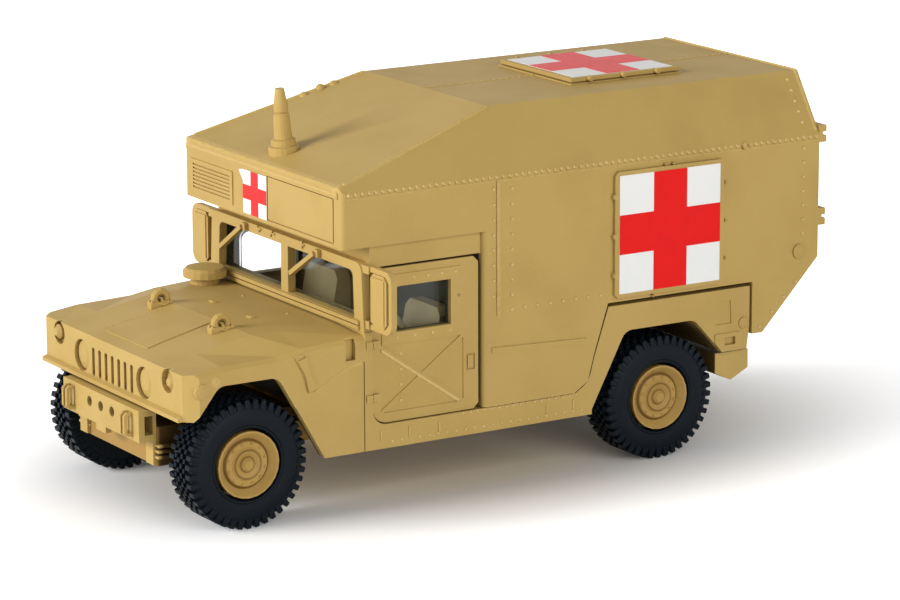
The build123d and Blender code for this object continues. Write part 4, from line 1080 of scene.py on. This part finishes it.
print(len(feet), "bolts in the ring feet")

# %% [markdown]
# A rubber strap holds each side of the real hood down. It is moulded on the fender as a thin
# bow: a slab is cut into lengths in edit mode, its middle is pinched, and it is laid between two
# points on the fender. A fine chain of beads runs back along the hatch in the hood.

# %% Hood straps and the hatch chain
STRAP_SIZE = (2.75 * MM, 0.80 * MM, 0.20 * MM)
STRAP_PINCH = 0.38
# station and height of the strap's ends and middle
STRAP_TOP, STRAP_FOOT, STRAP_MIDDLE = (4.45, 12.75), (5.25, 10.55), (5.1, 11.7)
# x and station of the chain's ends
CHAIN_ENDS = ((-4.02, -4.1), (-4.02, 1.0))
CHAIN_PITCH = 0.24


def strap(length, width, rise):
    """A low strap along Y, narrow at its middle."""
    obj = slab((-width / 2, -length / 2, -rise), (width / 2, length / 2, rise))
    choose(obj)
    bpy.ops.object.mode_set(mode="EDIT")
    bpy.ops.mesh.select_all(action="SELECT")
    bpy.ops.mesh.subdivide(number_cuts=7)
    bpy.ops.object.mode_set(mode="OBJECT")
    for vertex in obj.data.vertices:
        pinch = 0.5 + 0.5 * cos(2 * pi * vertex.co.y / length)
        vertex.co.x *= 1 - STRAP_PINCH * pinch
    return softened(obj, 0.03 * MM)


straps = []
for side in (1, -1):
    upper = on_side("hood", side, *STRAP_TOP).translation
    lower = on_side("hood", side, *STRAP_FOOT).translation
    lengthwise = (upper - lower).normalized()
    outwards = on_side("hood", side, *STRAP_MIDDLE).to_3x3().col[2].normalized()
    across = lengthwise.cross(outwards).normalized()
    turned = Matrix((across, lengthwise, across.cross(lengthwise))).transposed().to_4x4()
    straps.append(Matrix.Translation((upper + lower) / 2) @ turned)
stamped("hood_straps", strap(*STRAP_SIZE), straps, sand)
chain = [on_top("hood", spot.x, spot.y) for spot in row(*CHAIN_ENDS, CHAIN_PITCH)]
stamped("hatch_chain", ball(0.085 * MM, 0.07 * MM, 6), chain, sand)
print(len(chain), "beads along the hatch")

# %% [markdown]
# The frame ends under the nose are stepped castings. Thin plates ring the CAD model's plain
# ribs, one above another, with two bolt heads at the front of each.

# %% Stepped frame ends
PLATE_HEIGHTS = (5.15, 5.62, 6.08)
PLATE_INNER, PLATE_OUTER, PLATE_HALF = 4.9, 6.75, 0.11
PLATE_FRONT, PLATE_BACK = along(-5.05), along(-3.9)
# how much wider each plate is at both ends than the one under it
PLATE_STEP = 0.08
PLATE_BOLTS = (5.2, 6.4)
plates, plate_bolts = [], []
for side in (1, -1):
    for step, height in enumerate(PLATE_HEIGHTS):
        inner, outer = PLATE_INNER - step * PLATE_STEP, PLATE_OUTER + step * PLATE_STEP
        low = (side * inner * MM, PLATE_FRONT, (height - PLATE_HALF) * MM)
        high = (side * outer * MM, PLATE_BACK, (height + PLATE_HALF) * MM)
        plates.append(softened(slab(low, high), 0.05 * MM, 2))
        for x in PLATE_BOLTS:
            spot = (side * x * MM, PLATE_FRONT, height * MM)
            plate_bolts.append(Matrix.Translation(spot) @ FACE_FRONT)
finish_piece(fuse(plates), "frame_end_plates", sand)
stamped("frame_end_bolts", ball(0.09 * MM, 0.06 * MM), plate_bolts, sand)
print(len(plate_bolts), "bolts on the frame ends")

# %% [markdown]
# Where the box's sheets meet, the real seams are covered by rounded beads: a fat one over the
# windscreen, thinner ones up the two creases of the sloping roof and round the rear edge. A bead
# is a run of cylinders from point to point, with a ball at each joint so that no gap opens.

# %% Seam beads
BROW_RADIUS = 0.40 * MM
BROW_SINK_SHARE = 0.62
BROW_HALF, BROW_HEIGHT = 11.75, 25.42
# x and station of a crease's two ends
CREASE = ((11.95, 8.6), (9.40, 22.8))
REAR_POINTS, REAR_STATION = (-12.3, -9.3, 9.3, 12.3), 52.85


def bead(name, points, radius, sides=12, material=sand):
    """A round bead through a run of points."""
    parts = []
    for first, last in zip(points, points[1:]):
        clear()
        way = last - first
        bpy.ops.mesh.primitive_cylinder_add(
            vertices=sides, radius=radius, depth=way.length,
            location=(first + last) / 2, rotation=way.to_track_quat("Z", "Y").to_euler(),
        )
        settle(bpy.context.object)
        parts.append(bpy.context.object)
    for point in points:
        clear()
        bpy.ops.mesh.primitive_uv_sphere_add(segments=sides, ring_count=8, radius=radius, location=point)
        settle(bpy.context.object)
        parts.append(bpy.context.object)
    return finish_piece(fuse(parts), name, material)


def sunk(place, depth):
    """A point under the surface of a seat."""
    return place.translation - place.to_3x3().col[2].normalized() * depth


brow_sink = BROW_RADIUS * BROW_SINK_SHARE
brow = [sunk(on_front("shelter", x, BROW_HEIGHT), brow_sink) for x in (-BROW_HALF, BROW_HALF)]
bead("brow_bead", brow, BROW_RADIUS, 20)
for side, title in SIDES:
    crease = [sunk(on_top("shelter", side * x, station), 0.06 * MM) for x, station in CREASE]
    bead("slope_bead_" + title, crease, 0.17 * MM)
rear = [sunk(on_top("shelter", x, REAR_STATION), 0.02 * MM) for x in REAR_POINTS]
bead("rear_bead", rear, 0.14 * MM)
print("beads laid on the brow, creases and rear edge")

# %% [markdown]
# One of each door's pressed braces shows as a thin ridge, its paler paint a painted highlight, and
# the seam between the hood and the body runs up from the wheel arch towards the windscreen. Both
# are too fine for the solids, so each is a hair-thin bead laid along the same line.

# %% Door braces and the hood's seam
# station and height of a brace's ends
BRACE = ((11.7, 12.50), (18.6, 7.65))
# part, station and height of the seam's points
SEAM_POINTS = (("hood", 5.47, 10.13), ("lower_body", 8.5, 11.70), ("lower_body", 10.0, 11.84))
for side, title in SIDES:
    brace = [sunk(on_side("door_" + title, side, *spot), 0.02 * MM) for spot in BRACE]
    bead("door_brace_" + title, brace, 0.13 * MM, 12, highlit_sand)
    seam = [sunk(on_side(node, side, *spot), 0.01 * MM) for node, *spot in SEAM_POINTS]
    bead("bonnet_seam_" + title, seam, 0.06 * MM, 8)
print("braces and seams laid on", len(SIDES), "sides")

# %% [markdown]
# The box's side ends in a narrow gap above and ahead of the rear wing, and deep shade fills it.
# A dark thread laid in the gap makes that shade visible from every side. A pale one on the
# riser behind the door, a painted highlight, and a lip under the belt's rivets pick out two
# folded edges.

# %% Gap and folded edges
gap_finish = new_finish("gap shade", Roughness=0.8, Base_Color=shade(58, 40, 16), Specular_IOR_Level=0.1)
# station and height along the gap, and its x
GAP_LINE = (
    (32.40, 13.35), (31.60, 11.0), (31.12, 9.6), (30.74, 8.2),
    (30.48, 7.6), (30.0, 7.23), (29.42, 6.88),
)
GAP_X = 12.42 * MM
RISER = ((22.05, 14.0), (22.05, 24.6))
LIP = ((8.5, 24.86), (52.8, 24.86))
for side, title in SIDES:
    gap = [Vector((side * GAP_X, along(station), height * MM)) for station, height in GAP_LINE]
    bead("gap_shade_" + title, gap, 0.09 * MM, 8, gap_finish.material)
    riser = [sunk(on_side("shelter", side, *spot), 0.03 * MM) for spot in RISER]
    bead("riser_edge_" + title, riser, 0.08 * MM, 8, highlit_sand)
    lip = [sunk(on_side("shelter", side, *spot), 0.02 * MM) for spot in LIP]
    bead("belt_lip_" + title, lip, 0.07 * MM, 8)
print("gap and edges laid on", len(SIDES), "sides")

# %% [markdown]
# The photograph was taken with a long lens from the front left and a little above. The camera's
# place, turn and lens were fitted to its edges, so the wheels, roof and nose fall in place.

# %% Camera
CAMERA_PLACE = (0.2719, -0.165785, 0.08789)
YAW, NOD, ROLL = radians(58.31), radians(-13.29), radians(-0.19)
SENSOR, LENS = 36, 161.5
clear()
bpy.ops.object.camera_add(location=CAMERA_PLACE)
camera = bpy.context.object
# a camera at rest looks straight down, so a quarter turn brings it level first
level = Matrix.Rotation(radians(90) + NOD, 3, "X")
camera.rotation_euler = (Matrix.Rotation(YAW, 3, "Z") @ level @ Matrix.Rotation(ROLL, 3, "Z")).to_euler()
camera.data.sensor_width = SENSOR
camera.data.lens = LENS
camera.data.clip_start = 0.01
bpy.context.scene.camera = camera
bpy.context.scene.view_settings.view_transform = "Standard"
print("camera", round(Vector(CAMERA_PLACE).length / MM), "mm from the floor under the model")

# %% [markdown]
# The picture is a catalogue shot: one large soft light in front, a weaker one at the side, and a
# white table that fades into a white wall. Away from the model the table turns pure white for
# the camera only, so it adds no light, and close to the model it still takes its shadow.

# %% Lamps and world
LOOK_AT = Vector((0, 0, 0.014))
# name, place, size and power in watts
LAMPS = (
    ("front lamp", (-0.10, -0.50, 0.205), 0.24, 2.95),
    ("side lamp", (0.42, -0.02, 0.16), 0.36, 1.31),
)
SKY_LIGHT = 0.20
WHITE = (1, 1, 1, 1)


def soft_lamp(name, location, size, power):
    """A square soft lamp turned towards the model."""
    clear()
    bpy.ops.object.light_add(type="AREA", location=location)
    lamp = bpy.context.object
    lamp.name = name
    lamp.data.size = size
    lamp.data.energy = power
    lamp.rotation_euler = (LOOK_AT - Vector(location)).to_track_quat("-Z", "Y").to_euler()


def ray(finish, kind):
    """1 for the light paths of one kind and 0 for others."""
    return finish.node("ShaderNodeLightPath", {}, {}, kind)


def in_view(finish):
    """1 where the camera sees straight, by reflection or through glass, and 0 for other light."""
    seen = ray(finish, "Is Camera Ray").either(ray(finish, "Is Glossy Ray"))
    seen = seen.either(ray(finish, "Is Transmission Ray"))
    return seen * (1 - ray(finish, "Diffuse Depth").above(0, 1))


for lamp_settings in LAMPS:
    soft_lamp(*lamp_settings)
world = bpy.data.worlds.new("studio")
bpy.context.scene.world = world
world.use_nodes = True
sky = Finish(world.node_tree, "Background")
sky.feed(Color=WHITE, Strength=in_view(sky) * (1 - SKY_LIGHT) + SKY_LIGHT)
print(len(LAMPS), "lamps and a white world")

# %% [markdown]
# The table is one large plane. Its distance from the model is measured as an oval, because the
# truck is longer than it is wide. Under the model its white is painted darker and warmer, a
# painted shade with a painted reflection of the sand colour above, and further out it glows for
# the camera, in two steps, until it is as white as the wall.

# %% Floor
FLOOR_SIZE = 3.0
# one over the oval's two half sizes, in metres
OVAL = (34, 21, 1)
TABLE_WARM_SHADE = (0.80, 0.73, 0.58, 1)
TABLE_WHITE = (0.95, 0.95, 0.95, 1)
GLOW_UNDER, GLOW_NEAR, GLOW_FAR = 0.02, 0.60, 0.38
clear()
bpy.ops.mesh.primitive_plane_add(size=FLOOR_SIZE, location=(0, 0, 0))
floor = bpy.context.object
floor.name = "floor"
table = new_finish("white table", Roughness=0.8, Emission_Color=WHITE)
oval = table.node("ShaderNodeVectorMath", {"operation": "MULTIPLY"}, {0: table.place(), 1: OVAL})
away = table.node("ShaderNodeVectorMath", {"operation": "LENGTH"}, {0: oval}, "Value")
# painted warm shade under the model, white further out
table_colour = table.mix(away.above(0.25, 0.60), TABLE_WARM_SHADE, TABLE_WHITE)
glow = away.above(0.46, 1.10) * GLOW_NEAR + away.above(1.20, 3.00) * GLOW_FAR + GLOW_UNDER
table.feed(Base_Color=table_colour, Emission_Strength=in_view(table) * glow)
floor.data.materials.append(table.material)
print("floor laid, studio set")
